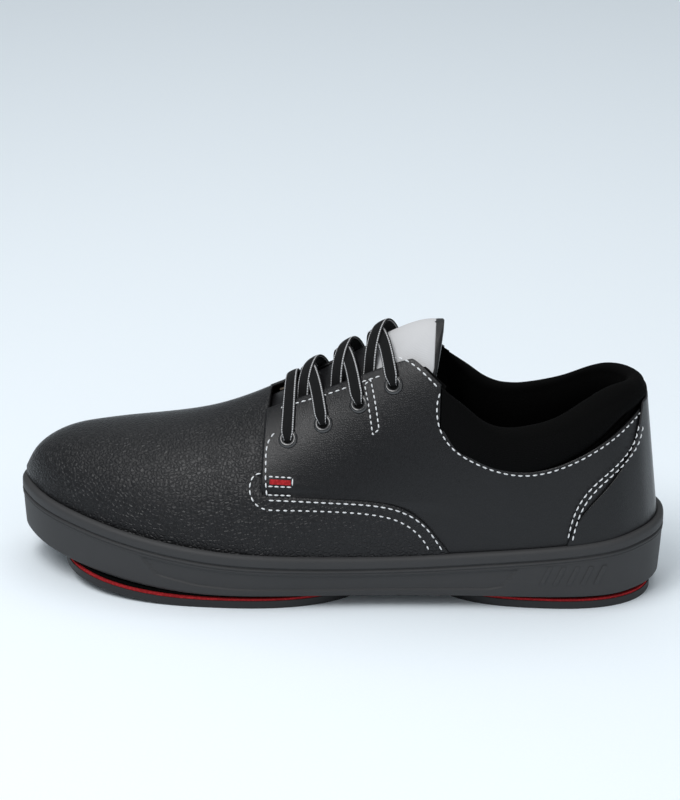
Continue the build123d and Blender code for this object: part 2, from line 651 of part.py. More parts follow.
with BuildPart() as lace:
    for upper, lower, side in RUNS:
        add(lace_ribbon(eyelet_spot(upper, side), eyelet_spot(lower, -side)))
    for i in range(4):
        for side in (-1, 1):
            add(spot_cylinder(*eyelet_spot(i, side), LACE_PLUG, -LINING_DEPTH - 0.9, 1.7))

# ---- labels and export --------------------------------------------------------------------
PIECES = [
    ("cupsole", cupsole), ("midsole_filler", midsole_filler), ("shank", shank),
    ("insole_board", insole_board), ("footbed", footbed), ("footbed_cover", footbed_cover),
    ("forefoot_loop_pad", forefoot_loop_pad), ("heel_loop_pad", heel_loop_pad),
    ("forefoot_hook_layer", forefoot_hook_layer), ("heel_hook_layer", heel_hook_layer),
    ("forefoot_tread_disc", forefoot_tread_disc), ("heel_tread_disc", heel_tread_disc),
    ("vamp", vamp), ("lateral_quarter", lateral_quarter), ("medial_quarter", medial_quarter),
    ("backstay", backstay), ("toe_puff", toe_puff), ("heel_counter", heel_counter),
    ("lateral_facing_stay", lateral_facing_stay), ("medial_facing_stay", medial_facing_stay),
    ("vamp_lining", vamp_lining), ("quarter_lining", quarter_lining),
    ("collar_foam", collar_foam), ("collar_cover", collar_cover),
    ("tongue_leather", tongue_leather), ("tongue_foam", tongue_foam),
    ("tongue_lining", tongue_lining), ("tongue_label", tongue_label),
    ("lateral_eyelets", lateral_eyelets), ("medial_eyelets", medial_eyelets), ("lace", lace),
]

for name, piece in PIECES:
    piece.part.label = name
    export_step(piece.part, "parts/" + name + ".step")
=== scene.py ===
"""Left lace-up sports shoe: dressed surfaces over the CAD frame, built with numpy grids."""

from __future__ import annotations

import logging  # noqa: E402
import math  # noqa: E402
from dataclasses import dataclass, field  # noqa: E402
from enum import Enum  # noqa: E402

import bpy  # noqa: E402
import numpy as np  # noqa: E402
from mathutils import Matrix, Vector  # noqa: E402

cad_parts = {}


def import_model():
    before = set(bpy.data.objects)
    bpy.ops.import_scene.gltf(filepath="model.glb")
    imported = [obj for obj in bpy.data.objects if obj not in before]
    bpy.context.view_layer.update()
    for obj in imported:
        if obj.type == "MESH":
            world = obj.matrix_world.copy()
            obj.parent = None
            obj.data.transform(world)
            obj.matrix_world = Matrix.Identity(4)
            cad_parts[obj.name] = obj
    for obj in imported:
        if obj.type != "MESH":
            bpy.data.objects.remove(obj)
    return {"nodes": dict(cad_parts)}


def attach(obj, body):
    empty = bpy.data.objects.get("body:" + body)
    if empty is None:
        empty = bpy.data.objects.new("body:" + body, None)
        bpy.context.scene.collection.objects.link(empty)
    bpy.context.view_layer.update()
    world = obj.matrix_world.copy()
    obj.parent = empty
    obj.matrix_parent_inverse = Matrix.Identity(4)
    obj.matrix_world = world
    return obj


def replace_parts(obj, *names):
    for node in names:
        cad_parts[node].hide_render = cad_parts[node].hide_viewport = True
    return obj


LOG = logging.getLogger("shoe")
MM = 0.001

# Lengths are in millimetres. A side view line runs over the distance from the heel end, a plan line
# gives a sideways place or half width over that distance.

# Sections by station: outer and inner half width of the sole, then of the upper its ridge height,
# sideways shift and roundness.
STATIONS = np.array([
    (0.0, 0.0, 0.0, 124.0, 0.0, 2.3),
    (0.3, 6.0, 6.0, 124.0, 0.0, 2.3), (2.0, 12.5, 12.5, 124.0, 0.0, 2.3),
    (5.0, 19.0, 19.0, 124.0, 0.0, 2.3), (10.0, 25.5, 25.5, 124.0, 0.0, 2.3),
    (19.0, 33.5, 33.0, 124.5, 0.0, 2.3), (32.0, 38.8, 37.8, 125.0, 0.0, 2.3),
    (50.0, 41.6, 40.0, 126.0, 0.0, 2.3), (72.0, 42.8, 40.0, 127.0, 0.0, 2.2),
    (95.0, 43.8, 39.5, 129.0, 1.0, 2.05), (110.0, 45.0, 39.6, 128.0, 2.0, 1.98),
    (125.0, 46.2, 40.0, 122.5, 2.5, 1.9), (145.0, 48.4, 41.5, 111.0, 2.5, 1.82),
    (165.0, 51.0, 44.0, 99.0, 2.5, 1.76), (180.0, 52.8, 46.8, 90.5, 2.0, 1.76),
    (195.0, 53.8, 49.8, 83.0, 2.0, 1.82), (210.0, 53.3, 52.0, 77.0, 1.8, 1.92),
    (225.0, 51.2, 53.0, 73.0, 1.2, 2.05), (240.0, 47.5, 52.0, 70.0, 2.0, 2.15),
    (253.0, 42.8, 48.8, 68.0, 3.0, 2.2), (265.0, 37.0, 44.0, 66.0, 4.0, 2.25),
    (275.0, 31.0, 39.3, 64.0, 4.5, 2.3), (284.0, 24.3, 33.0, 61.0, 4.5, 2.3),
    (291.0, 17.0, 25.2, 57.0, 4.0, 2.3), (296.0, 9.5, 17.0, 52.0, 3.5, 2.3),
    (299.2, 2.5, 9.0, 46.0, 3.0, 2.3), (300.0, -3.2, 3.2, 44.0, 3.0, 2.3),
])
# Side view lines: top of the sole's rim, edge of the ankle opening, lower seam of the collar, front
# edge of the heel overlay, upper edge of the vamp's wing.
RIM = [(-6, 37), (0, 36.5), (30, 33.5), (60, 30.5), (100, 27), (140, 25.5), (180, 26.5),
       (220, 29.5), (260, 34.5), (300, 41), (308, 42.5)]
TOPLINE = [(-6, 104), (4, 104.5), (12, 104), (25, 99), (38, 92), (52, 87), (68, 85), (80, 88),
           (90, 94.5), (100, 100.5), (108, 106.5), (115, 111.5), (123, 114), (131, 112.5),
           (139, 107), (150, 112)]
SEAM = [(-6, 93.5), (5, 93), (11, 91), (18, 86.5), (30, 79), (45, 71.5), (60, 67),
        (68, 66.5), (77, 67.8), (90, 72.5), (98.4, 78), (102, 84)]
BACKSTAY_EDGE = [(14, 96), (15.5, 84), (17.5, 77), (21, 72.5), (27, 67.5), (33, 62.8), (38.5, 57),
                 (42, 51), (44.3, 44), (45.8, 36), (46.5, 24)]
WING = [(90, 8), (99.6, 28.9), (102.8, 33), (107.5, 39), (114.5, 45.2), (121.5, 48.6),
        (131, 50.5), (150, 51.4), (182, 52)]
# Half width of the throat between the facings, its middle, and each eyelet's place and half width.
THROAT = [(100, 19.0), (125, 17.0), (145, 15.5), (165, 14.0), (182, 13.0)]
THROAT_Y = -0.5
EYELETS = [(173.0, 27.5), (157.2, 25.6), (141.2, 23.9), (125.8, 22.6)]
# Rim band of the sole as distance in and height from the rim, and lower edge of its side panels.
BAND = [(4.6, -4.0), (4.0, -1.5), (3.5, -0.4), (2.9, 0.0), (2.1, 0.05), (1.2, -0.15),
        (0.45, -0.7), (0.05, -1.5), (0.0, -2.4), (0.02, -3.4), (0.0, -4.3), (0.12, -4.8),
        (0.75, -5.0), (1.0, -5.3), (0.95, -5.75), (0.35, -6.0), (0.0, -6.25), (-0.05, -6.55),
        (0.05, -6.9), (0.35, -7.05), (0.4, -7.3), (0.12, -7.6), (0.1, -8.0)]
PANEL_LOW = [(60, 24), (66, 22), (74, 11.2), (80, 9.9), (150, 9.3), (193, 9.7), (213, 10.9),
             (231, 14), (240, 24)]
# Rise of one leather lapped over another, and height above the lasted edge at which the vamp's skin
# starts, behind the sole's rim.
LAP = 0.95
HIDDEN = 7


class Side(Enum):
    """The two sides of the shoe; the value is the sign of Y."""

    OUTER = -1
    INNER = 1


# ---- numeric tools ---------------------------------------------------------------------------


class Track:
    """Natural cubic spline through knots: piecewise cubics with matching first and second slopes."""

    def __init__(self, knots: np.ndarray, values: np.ndarray) -> None:
        """Solves for the second derivatives.

        Args:
            knots: Increasing parameter values, n long.
            values: Values at the knots, n or n by k.
        """
        self.x = np.asarray(knots, float)
        self.y = np.asarray(values, float)
        n = len(self.x)
        h = np.diff(self.x)
        system = np.zeros((n, n))
        right = np.zeros_like(self.y)
        system[0, 0] = system[-1, -1] = 1.0
        i = np.arange(1, n - 1)
        system[i, i - 1] = h[:-1]
        system[i, i] = 2 * (h[:-1] + h[1:])
        system[i, i + 1] = h[1:]
        hh = h if self.y.ndim == 1 else h[:, None]
        slope = np.diff(self.y, axis=0) / hh
        right[1:-1] = 6 * np.diff(slope, axis=0)
        self.m = np.linalg.solve(system, right)

    def __call__(self, at: np.ndarray) -> np.ndarray:
        """Evaluates the spline; straight beyond the ends.

        Args:
            at: Parameter values of any shape.

        Returns:
            Values of that shape, with a last axis of k where the knots had one.
        """
        at = np.asarray(at, float)
        inside = np.clip(at, self.x[0], self.x[-1])
        k = np.clip(np.searchsorted(self.x, inside) - 1, 0, len(self.x) - 2)
        h = self.x[k + 1] - self.x[k]
        a = (self.x[k + 1] - inside) / h
        b = 1 - a
        if self.y.ndim > 1:
            a, b, h = a[..., None], b[..., None], h[..., None]
        return (a * self.y[k] + b * self.y[k + 1]
                + ((a**3 - a) * self.m[k] + (b**3 - b) * self.m[k + 1]) * h * h / 6)


def travelled(points: np.ndarray) -> np.ndarray:
    """Distance along a polyline from its first point to each of its points.

    Args:
        points: n by k points.

    Returns:
        n distances, the first of them 0.
    """
    step = np.linalg.norm(np.diff(points, axis=0), axis=1)
    return np.concatenate([[0], np.cumsum(step)])


def path_track(points: np.ndarray) -> Track:
    """Spline through points of any dimension over their chord length, scaled to 0..1.

    Args:
        points: n by k points.

    Returns:
        The spline.
    """
    points = np.asarray(points, float)
    length = travelled(points)
    return Track(length / length[-1], points)


def resample(points: np.ndarray, count: int) -> np.ndarray:
    """Points at even arc length along a polyline.

    Args:
        points: n by k points.
        count: How many to return.

    Returns:
        count by k points.
    """
    length = travelled(points)
    want = np.linspace(0, length[-1], count)
    return np.stack([np.interp(want, length, points[:, k]) for k in range(points.shape[1])], 1)


def smoothstep(low: float, high: float, value: np.ndarray) -> np.ndarray:
    """0 below low, 1 above high, and an S curve between them.

    Args:
        low: Value where the curve starts.
        high: Value where it ends.
        value: Where it is wanted.

    Returns:
        Values of 0 to 1.
    """
    t = np.clip((value - low) / (high - low), 0, 1)
    return t * t * (3 - 2 * t)


def facing_lift(t: np.ndarray) -> np.ndarray:
    """Depth of a facing's surface: none near the ankle, a lap outwards where it lies on the vamp.

    Args:
        t: Distance from the heel end.

    Returns:
        Depth, below 0 outwards.
    """
    return -LAP * smoothstep(150, 178, t)


def unit(vectors: np.ndarray) -> np.ndarray:
    """Vectors divided by their lengths.

    Args:
        vectors: ... by k vectors.

    Returns:
        Vectors of length 1.
    """
    return vectors / np.maximum(np.linalg.norm(vectors, axis=-1, keepdims=True), 1e-9)


def ripple(points: np.ndarray, scale: float, seed: float = 0.0) -> np.ndarray:
    """Soft pseudo-random waves: a sum of sines along skewed directions.

    Args:
        points: ... by 3 points, in millimetres.
        scale: Typical wave length, in millimetres.
        seed: Phase offset.

    Returns:
        Values of about -1 to 1.
    """
    k = 2 * math.pi / scale
    x, y, z = points[..., 0], points[..., 1], points[..., 2]
    return (np.sin(k * (x + 0.4 * z) + seed) + np.sin(k * 1.37 * (y - 0.5 * x) + 2.1 * seed + 1)
            + np.sin(k * 0.71 * (z + 0.8 * y) + 3.3 * seed + 2)) / 3


@dataclass(frozen=True)
class ShoeForm:
    """The shape over which the upper is lasted; mirrors the sections of the CAD loft.

    Attributes:
        length: Length of the sole.
        lean: Forward lean of the heel line, in degrees.
        inset: Step from the sole edge in to the upper.
        floor: Height of the lasted edge.
        spring: Rise at the toe tip.
        spring_start: Distance from the heel where the rise begins.
    """

    length: float = 300.0
    lean: float = 7.0
    inset: float = 3.0
    floor: float = 14.0
    spring: float = 10.0
    spring_start: float = 205.0
    table: Track = field(default_factory=lambda: Track(
        np.arccos(1 - STATIONS[:, 0] / 150.0), STATIONS[:, 1:]))

    def x_of(self, t: np.ndarray) -> np.ndarray:
        """X of a distance from the heel end."""
        return self.length / 2 - t

    def rise(self, t: np.ndarray) -> np.ndarray:
        """Toe spring at t: a parabola from its start."""
        return self.spring * (np.maximum(0, t - self.spring_start) / (300 - self.spring_start)) ** 2

    def _row(self, s: np.ndarray, depth: np.ndarray) -> tuple[np.ndarray, ...]:
        """Section values at station s for a surface depth inwards.

        Args:
            s: Station.
            depth: Distance inwards from the leather surface.

        Returns:
            Half widths, ridge, shift, roundness, lean, distance from the heel and floor.
        """
        values = self.table(np.arccos(np.clip(1 - s / 150.0, -1, 1)))
        outer, inner, ridge, shift, power = np.moveaxis(values, -1, 0)
        scale = 1 - (self.inset + depth) / 46.0
        lean = np.radians(self.lean * np.maximum(0, 1 - s / 110.0))
        along = self.inset - 1.2 + depth + s * (300 - 2 * (self.inset - 1.2) - 2 * depth) / 300
        floor = self.floor + self.rise(s)
        return outer * scale + shift, inner * scale - shift, ridge, shift, power, lean, along, floor

    def at(self, s: np.ndarray, angle: np.ndarray, depth: np.ndarray = 0.0) -> np.ndarray:
        """Surface points by station and arch angle.

        Half widths times cos(angle) and height times sin(angle), each raised to 2 over the
        roundness exponent, in a plane leaning forwards at the heel.

        Args:
            s: Station, 0 at the heel to 300 at the toe.
            angle: 0 at the outer floor edge, pi at the inner one.
            depth: Distance inwards from the leather surface.

        Returns:
            Points in millimetres.
        """
        s, angle, depth = np.broadcast_arrays(np.asarray(s, float), angle, depth)
        near, far, ridge, shift, power, lean, along, floor = self._row(s, depth)
        half = np.where(angle < math.pi / 2, -near, far)
        y = shift + half * np.abs(np.cos(angle)) ** (2 / power)
        h = (ridge - depth - floor) * np.maximum(np.sin(angle), 0) ** (2 / power)
        return np.stack([self.x_of(along) - h * np.sin(lean), y, floor + h * np.cos(lean)], -1)

    def angle_at_height(self, s: np.ndarray, z: np.ndarray, side: Side,
                        depth: np.ndarray = 0.0) -> np.ndarray:
        """Arch angle where the section reaches a height.

        Args:
            s: Station.
            z: Height.
            side: Side of the shoe.
            depth: Distance inwards from the leather surface.

        Returns:
            Arch angle.
        """
        _, _, ridge, _, power, lean, _, floor = self._row(np.asarray(s, float), depth)
        part = np.clip((z - floor) / np.cos(lean) / (ridge - depth - floor), 0, 1)
        angle = np.arcsin(part ** (power / 2))
        return angle if side is Side.OUTER else math.pi - angle

    def angle_at_plan(self, s: np.ndarray, y: np.ndarray, depth: np.ndarray = 0.0) -> np.ndarray:
        """Arch angle where the section reaches a sideways position.

        Args:
            s: Station.
            y: Sideways position.
            depth: Distance inwards from the leather surface.

        Returns:
            Arch angle.
        """
        near, far, _, shift, power, _, _, _ = self._row(np.asarray(s, float), depth)
        outer = y < shift
        part = np.clip(np.abs(y - shift) / np.where(outer, near, far), 0, 1)
        angle = np.arccos(part ** (power / 2))
        return np.where(outer, angle, math.pi - angle)

    def line_angle(self, s: np.ndarray, line: Track, side: Side, depth: float = 0.0) -> np.ndarray:
        """Arch angle where a section meets a side view line z of t, by repeated substitution.

        Args:
            s: Station.
            line: Side view line.
            side: Side of the shoe.
            depth: Distance inwards from the leather surface.

        Returns:
            Arch angle.
        """
        s = np.asarray(s, float)
        _, _, _, _, _, lean, along, floor = self._row(s, depth)
        z = line(along)
        for _ in range(6):
            z = line(along + (z - floor) * np.tan(lean))
        return self.angle_at_height(s, z, side, depth)

    def station(self, t: np.ndarray, z: np.ndarray, depth: float = 0.0) -> np.ndarray:
        """Station of a side view point, by repeated substitution.

        Args:
            t: Distance from the heel end.
            z: Height.
            depth: Distance inwards from the leather surface.

        Returns:
            Station.
        """
        t = np.asarray(t, float)
        s = t.copy()
        for _ in range(8):
            lean = np.radians(self.lean * np.maximum(0, 1 - s / 110.0))
            along = t - (z - self.floor - self.rise(s)) * np.tan(lean)
            s = (along - self.inset + 1.2 - depth) * 300 / (302.4 - 2 * self.inset - 2 * depth)
            s = np.clip(s, 0.0, 300.0)
        return s

    def on_side(self, line: np.ndarray, side: Side, depth: float = 0.0) -> np.ndarray:
        """Points of the surface seen at side view positions (t, z).

        Args:
            line: ... by 2 positions.
            side: Side of the shoe.
            depth: Distance inwards from the leather surface.

        Returns:
            ... by 3 points.
        """
        line = np.asarray(line, float)
        s = self.station(line[..., 0], line[..., 1], depth)
        return self.at(s, self.angle_at_height(s, line[..., 1], side, depth), depth)

    def on_plan(self, line: np.ndarray, depth: np.ndarray = 0.0) -> np.ndarray:
        """Points of the surface above plan positions (t, y), forward of the heel lean.

        Args:
            line: ... by 2 positions.
            depth: Distance inwards from the leather surface.

        Returns:
            ... by 3 points.
        """
        line = np.asarray(line, float)
        depth = np.broadcast_to(np.asarray(depth, float), line.shape[:-1])
        s = (line[..., 0] - self.inset + 1.2 - depth) * 300 / (302.4 - 2 * self.inset - 2 * depth)
        return self.at(s, self.angle_at_plan(s, line[..., 1], depth), depth)

    def normal(self, points: np.ndarray) -> np.ndarray:
        """Outward direction at surface points, from two small steps along the same surface.

        Args:
            points: ... by 3 points.

        Returns:
            ... by 3 unit vectors.
        """
        t = 150 - points[..., 0]
        s = self.station(t, points[..., 2])
        a = self.angle_at_plan(s, points[..., 1])
        base = self.at(s, a)
        ds = unit(self.at(np.clip(s + 1.0, 0, 300), a) - self.at(np.clip(s - 1.0, 0, 300), a))
        da = unit(self.at(s, np.clip(a + 0.02, 0, math.pi))
                  - self.at(s, np.clip(a - 0.02, 0, math.pi)))
        n = unit(np.cross(ds, da))
        away = base - np.array([0.0, 0.0, 40.0])
        away[..., 0] = 0.0
        flip = np.where((n * away).sum(-1, keepdims=True) < 0, -1.0, 1.0)
        return n * flip


FORM = ShoeForm()


def build_mesh(name: str, points: np.ndarray, faces: np.ndarray, material: bpy.types.Material,
               body: str = "shoe", uv: np.ndarray | None = None, smooth: bool = True) -> bpy.types.Object:
    """Makes a mesh object from whole arrays, with outward faces.

    Args:
        name: Object name.
        points: n by 3 points, in millimetres.
        faces: m by 4 indices.
        material: Finish.
        body: CAD body the piece rides on.
        uv: n by 2 values in millimetres, or None.
        smooth: Smooth shading.

    Returns:
        The object.
    """
    mesh = bpy.data.meshes.new(name)
    mesh.from_pydata((points * MM).tolist(), [], faces.tolist())
    if uv is not None:
        layer = mesh.uv_layers.new(name="UVMap")
        loops = np.empty(len(mesh.loops), int)
        mesh.loops.foreach_get("vertex_index", loops)
        layer.data.foreach_set("uv", uv[loops].astype(np.float32).ravel())
    mesh.polygons.foreach_set("use_smooth", np.full(len(mesh.polygons), smooth))
    mesh.materials.append(material)
    mesh.update()
    obj = bpy.data.objects.new(name, mesh)
    bpy.context.scene.collection.objects.link(obj)
    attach(obj, body)
    return obj


def grid_faces(rows: int, columns: int, ring: bool = False, offset: int = 0) -> np.ndarray:
    """Quads of a rows by columns point grid; ring joins the last row to the first.

    Args:
        rows: Rows of points.
        columns: Points in a row.
        ring: Whether the last row meets the first.
        offset: Number of the first point.

    Returns:
        m by 4 indices.
    """
    i = np.arange(rows if ring else rows - 1)[:, None]
    j = np.arange(columns - 1)[None, :]
    k = (i + 1) % rows
    quads = np.stack([i * columns + j, k * columns + j, k * columns + j + 1, i * columns + j + 1], -1)
    return quads.reshape(-1, 4) + offset


def weld(grids: list[np.ndarray], flips: list[bool]) -> tuple[np.ndarray, np.ndarray]:
    """Joins grids into one mesh and merges points closer than 0.02 mm.

    Args:
        grids: Point grids, rows by columns by 3.
        flips: Whether each grid's quads are turned over.

    Returns:
        Points and quads.
    """
    points, faces, start = [], [], 0
    for grid, flip in zip(grids, flips):
        quads = grid_faces(grid.shape[0], grid.shape[1], offset=start)
        faces.append(quads[:, ::-1] if flip else quads)
        points.append(grid.reshape(-1, 3))
        start += grid.shape[0] * grid.shape[1]
    every = np.concatenate(points)
    _, first, back = np.unique(np.round(every / 0.02).astype(np.int64), axis=0,
                                  return_index=True, return_inverse=True)
    quads = back.reshape(-1)[np.concatenate(faces)]
    good = (quads[:, 0] != quads[:, 2]) & (quads[:, 1] != quads[:, 3])
    return every[first], quads[good]


def solidify(obj: bpy.types.Object, thickness: float) -> None:
    """Gives a skin thickness inwards.

    Args:
        obj: Skin.
        thickness: Thickness in millimetres.
    """
    modifier = obj.modifiers.new("thickness", "SOLIDIFY")
    modifier.thickness = thickness * MM
    modifier.offset = -1.0
    modifier.use_even_offset = False


# ---- shader tools ------------------------------------------------------------------------------


class Sig:
    """A shader value with operators; every operator adds a Math node."""

    def __init__(self, graph: "Graph", socket: bpy.types.NodeSocket) -> None:
        """Wraps an output socket of a graph."""
        self.graph = graph
        self.socket = socket

    def _math(self, kind: str, *others: object, first: object = None) -> "Sig":
        """Adds a Math node with this value and the others as inputs."""
        inputs = [self if first is None else first, *others]
        return self.graph.node("ShaderNodeMath", "Value", inputs, operation=kind)

    def __add__(self, other: object) -> "Sig":
        """This value plus another."""
        return self._math("ADD", other)

    __radd__ = __add__

    def __mul__(self, other: object) -> "Sig":
        """This value times another."""
        return self._math("MULTIPLY", other)

    __rmul__ = __mul__

    def __sub__(self, other: object) -> "Sig":
        """This value less another."""
        return self._math("SUBTRACT", other)

    def __rsub__(self, other: object) -> "Sig":
        """Another value less this one."""
        return self._math("SUBTRACT", self, first=other)

    def __truediv__(self, other: object) -> "Sig":
        """This value over another."""
        return self._math("DIVIDE", other)

    def __gt__(self, other: object) -> "Sig":
        """1 where this value is above another."""
        return self._math("GREATER_THAN", other)

    def __lt__(self, other: object) -> "Sig":
        """1 where this value is below another."""
        return self._math("LESS_THAN", other)

    def sine(self) -> "Sig":
        """Sine of this value."""
        return self._math("SINE")

    def fold(self) -> "Sig":
        """Absolute value."""
        return self._math("ABSOLUTE")

    def power(self, exponent: float) -> "Sig":
        """This value to a power."""
        return self._math("POWER", exponent)

    def ramp(self, low: float, high: float) -> "Sig":
        """Smooth step of this value from low to high."""
        return self.graph.node("ShaderNodeMapRange", "Result",
                               {"Value": self, "From Min": low, "From Max": high},
                               interpolation_type="SMOOTHSTEP")


class Graph:
    """Node graph of one material, ending in a Principled shader."""

    def __init__(self, name: str) -> None:
        """Starts an empty material of this name."""
        self.material = bpy.data.materials.new(name)
        self.material.use_nodes = True
        self.tree = self.material.node_tree
        self.shader = self.tree.nodes["Principled BSDF"]

    def node(self, kind: str, output: str, inputs: object = (), **settings: object) -> Sig:
        """Adds one node.

        Args:
            kind: Node type name.
            output: Name of the output to return.
            inputs: Values by position or by input name; Sig values are linked.
            **settings: Node properties.

        Returns:
            The output.
        """
        made = self.tree.nodes.new(kind)
        for key, value in settings.items():
            setattr(made, key, value)
        pairs = inputs.items() if isinstance(inputs, dict) else enumerate(inputs)
        for key, value in pairs:
            target = made.inputs[key]
            if isinstance(value, Sig):
                self.tree.links.new(value.socket, target)
            else:
                target.default_value = value
        return Sig(self, made.outputs[output])

    def place(self, scale: tuple[float, float, float] = (1, 1, 1)) -> Sig:
        """Object coordinates, scaled."""
        where = self.node("ShaderNodeTexCoord", "Object")
        return self.node("ShaderNodeMapping", "Vector", {"Vector": where, "Scale": scale})

    def flat(self) -> tuple[Sig, Sig]:
        """The two UV values, in millimetres."""
        where = self.node("ShaderNodeUVMap", "UV", uv_map="UVMap")
        split = self.node("ShaderNodeSeparateXYZ", "X", [where])
        return split, Sig(self, split.socket.node.outputs["Y"])

    def noise(self, where: Sig, scale: float, detail: float = 3.0, rough: float = 0.55) -> Sig:
        """Noise of 0 to 1."""
        return self.node("ShaderNodeTexNoise", "Fac", {"Vector": where, "Scale": scale, "Detail": detail,
                                                       "Roughness": rough})

    def cells(self, where: Sig, scale: float, feature: str = "DISTANCE_TO_EDGE") -> Sig:
        """Cell pattern distance."""
        return self.node("ShaderNodeTexVoronoi", "Distance", {"Vector": where, "Scale": scale},
                         feature=feature)

    def mix(self, factor: object, low: tuple, high: tuple) -> Sig:
        """Colour between two colours."""
        made = self.tree.nodes.new("ShaderNodeMix")
        made.data_type = "RGBA"
        self.tree.links.new(factor.socket, made.inputs[0])
        for socket, value in ((made.inputs[6], low), (made.inputs[7], high)):
            if isinstance(value, Sig):
                self.tree.links.new(value.socket, socket)
            else:
                socket.default_value = (*value, 1.0)
        return Sig(self, made.outputs[2])

    def set(self, **values: object) -> None:
        """Sets shader inputs by name, with _ for a space."""
        for key, value in values.items():
            socket = self.shader.inputs[key.replace("_", " ")]
            if isinstance(value, Sig):
                self.tree.links.new(value.socket, socket)
            elif isinstance(value, tuple):
                socket.default_value = (*value, 1.0)
            else:
                socket.default_value = value

    def bump(self, height: Sig, depth: float, strength: float = 1.0) -> None:
        """Surface relief of a height from 0 to 1, depth in millimetres."""
        made = self.node("ShaderNodeBump", "Normal", {"Height": height, "Distance": depth * MM,
                                                      "Strength": strength})
        self.set(Normal=made)


@dataclass(frozen=True)
class Leather:
    """Black leather with a grain of soft cells.

    Attributes:
        name: Material name.
        dark: Colour in the creases.
        light: Colour on the grain.
        grain: Cells per metre.
        depth: Relief in millimetres.
        rough: Mean roughness.
        coat: Finish coat weight.
    """

    name: str
    dark: tuple[float, float, float] = (0.0045, 0.0045, 0.005)
    light: tuple[float, float, float] = (0.010, 0.010, 0.0115)
    grain: float = 520.0
    depth: float = 0.12
    rough: float = 0.42
    coat: float = 0.04

    def make(self) -> bpy.types.Material:
        """Builds the material."""
        g = Graph(self.name)
        where = g.place()
        cells = g.cells(where, self.grain).ramp(0.0, 0.28)
        fine = g.noise(where, self.grain * 3.2, 4.0)
        broad = g.noise(where, 26.0, 3.0)
        wear = g.noise(where, 9.0, 2.0)
        g.set(Base_Color=g.mix(cells * 0.5 + broad * 0.5, self.dark, self.light),
              Roughness=fine * 0.10 + broad * 0.16 + wear * 0.10 + (self.rough - 0.18),
              Coat_Weight=self.coat, Coat_Roughness=0.35, Specular_IOR_Level=0.3)
        g.bump(cells * 0.75 + fine * 0.25, self.depth)
        return g.material


@dataclass(frozen=True)
class Cloth:
    """Woven or knitted cloth from crossing waves over the piece's own UVs, or cells without them.

    Attributes:
        name: Material name.
        dark: Colour between threads.
        light: Colour on threads.
        thread: Threads per millimetre.
        depth: Relief in millimetres.
        mapped: Whether the piece carries UVs in millimetres.
    """

    name: str
    dark: tuple[float, float, float] = (0.001, 0.001, 0.001)
    light: tuple[float, float, float] = (0.004, 0.004, 0.004)
    thread: float = 1.6
    depth: float = 0.15
    mapped: bool = False

    def make(self) -> bpy.types.Material:
        """Builds the material."""
        g = Graph(self.name)
        where = g.place()
        if self.mapped:
            u, v = g.flat()
            k = math.pi * self.thread
            weave = ((u * k).sine() * (v * k).sine()).fold()
        else:
            weave = g.cells(where, self.thread * 620.0, "F1").ramp(0.75, 0.1)
        fuzz = g.noise(where, 1500.0, 3.0)
        tone = g.noise(where, 40.0, 3.0)
        g.set(Base_Color=g.mix(weave * 0.6 + tone * 0.4, self.dark, self.light),
              Roughness=fuzz * 0.1 + 0.82, Specular_IOR_Level=0.05)
        g.bump(weave * 0.8 + fuzz * 0.2, self.depth)
        return g.material


@dataclass(frozen=True)
class Rubber:
    """Moulded matte rubber with a fine spark finish and light scuffs.

    Attributes:
        name: Material name.
        dark: Darker colour.
        light: Lighter colour.
        rough: Mean roughness.
        depth: Relief in millimetres.
    """

    name: str
    dark: tuple[float, float, float] = (0.034, 0.034, 0.035)
    light: tuple[float, float, float] = (0.052, 0.052, 0.054)
    rough: float = 0.58
    depth: float = 0.05

    def make(self) -> bpy.types.Material:
        """Builds the material."""
        g = Graph(self.name)
        where = g.place()
        spark = g.noise(where, 1900.0, 3.0)
        cloud = g.noise(where, 22.0, 4.0)
        streak = g.noise(g.place((0.15, 1.0, 2.0)), 160.0, 4.0).ramp(0.55, 0.85)
        g.set(Base_Color=g.mix(cloud * 0.7 + streak * 0.3, self.dark, self.light),
              Roughness=cloud * 0.12 + streak * 0.08 + (self.rough - 0.08), Specular_IOR_Level=0.25)
        g.bump(spark, self.depth)
        return g.material


@dataclass(frozen=True)
class Thread:
    """Plied thread: fine uneven strands over each stitch.

    Attributes:
        name: Material name.
        dark: Colour between plies.
        light: Colour on plies.
    """

    name: str
    dark: tuple[float, float, float] = (0.42, 0.43, 0.45)
    light: tuple[float, float, float] = (0.86, 0.87, 0.88)

    def make(self) -> bpy.types.Material:
        """Builds the material."""
        g = Graph(self.name)
        where = g.place()
        strands = g.noise(where, 2600.0, 3.0)
        g.set(Base_Color=g.mix(strands.ramp(0.3, 0.6), self.dark, self.light),
              Roughness=strands * 0.1 + 0.5, Sheen_Weight=0.3)
        g.bump(strands, 0.08)
        return g.material


@dataclass(frozen=True)
class LaceBraid:
    """Flat braid, black with a white line near each edge, from UVs across and along it.

    Attributes:
        name: Material name.
        width: Width of the lace in millimetres.
    """

    name: str
    width: float = 6.4

    def make(self) -> bpy.types.Material:
        """Builds the material."""
        g = Graph(self.name)
        u, v = g.flat()
        edge = (u - self.width / 2).fold() / (self.width / 2)
        line = edge.ramp(0.70, 0.73) * (1 - edge.ramp(0.86, 0.90))
        braid = (((u + v) * 4.4).sine() * ((u - v) * 4.4).sine()).fold()
        gaps = ((v * 5.6).sine() * 0.5 + 0.5).ramp(0.02, 0.25)
        black = g.mix(braid, (0.002, 0.002, 0.002), (0.010, 0.010, 0.011))
        white = g.mix(braid, (0.45, 0.45, 0.46), (0.82, 0.82, 0.83))
        g.set(Base_Color=g.mix(line * gaps, black, white), Roughness=braid * 0.15 + 0.62,
              Specular_IOR_Level=0.2)
        g.bump(braid, 0.25)
        return g.material


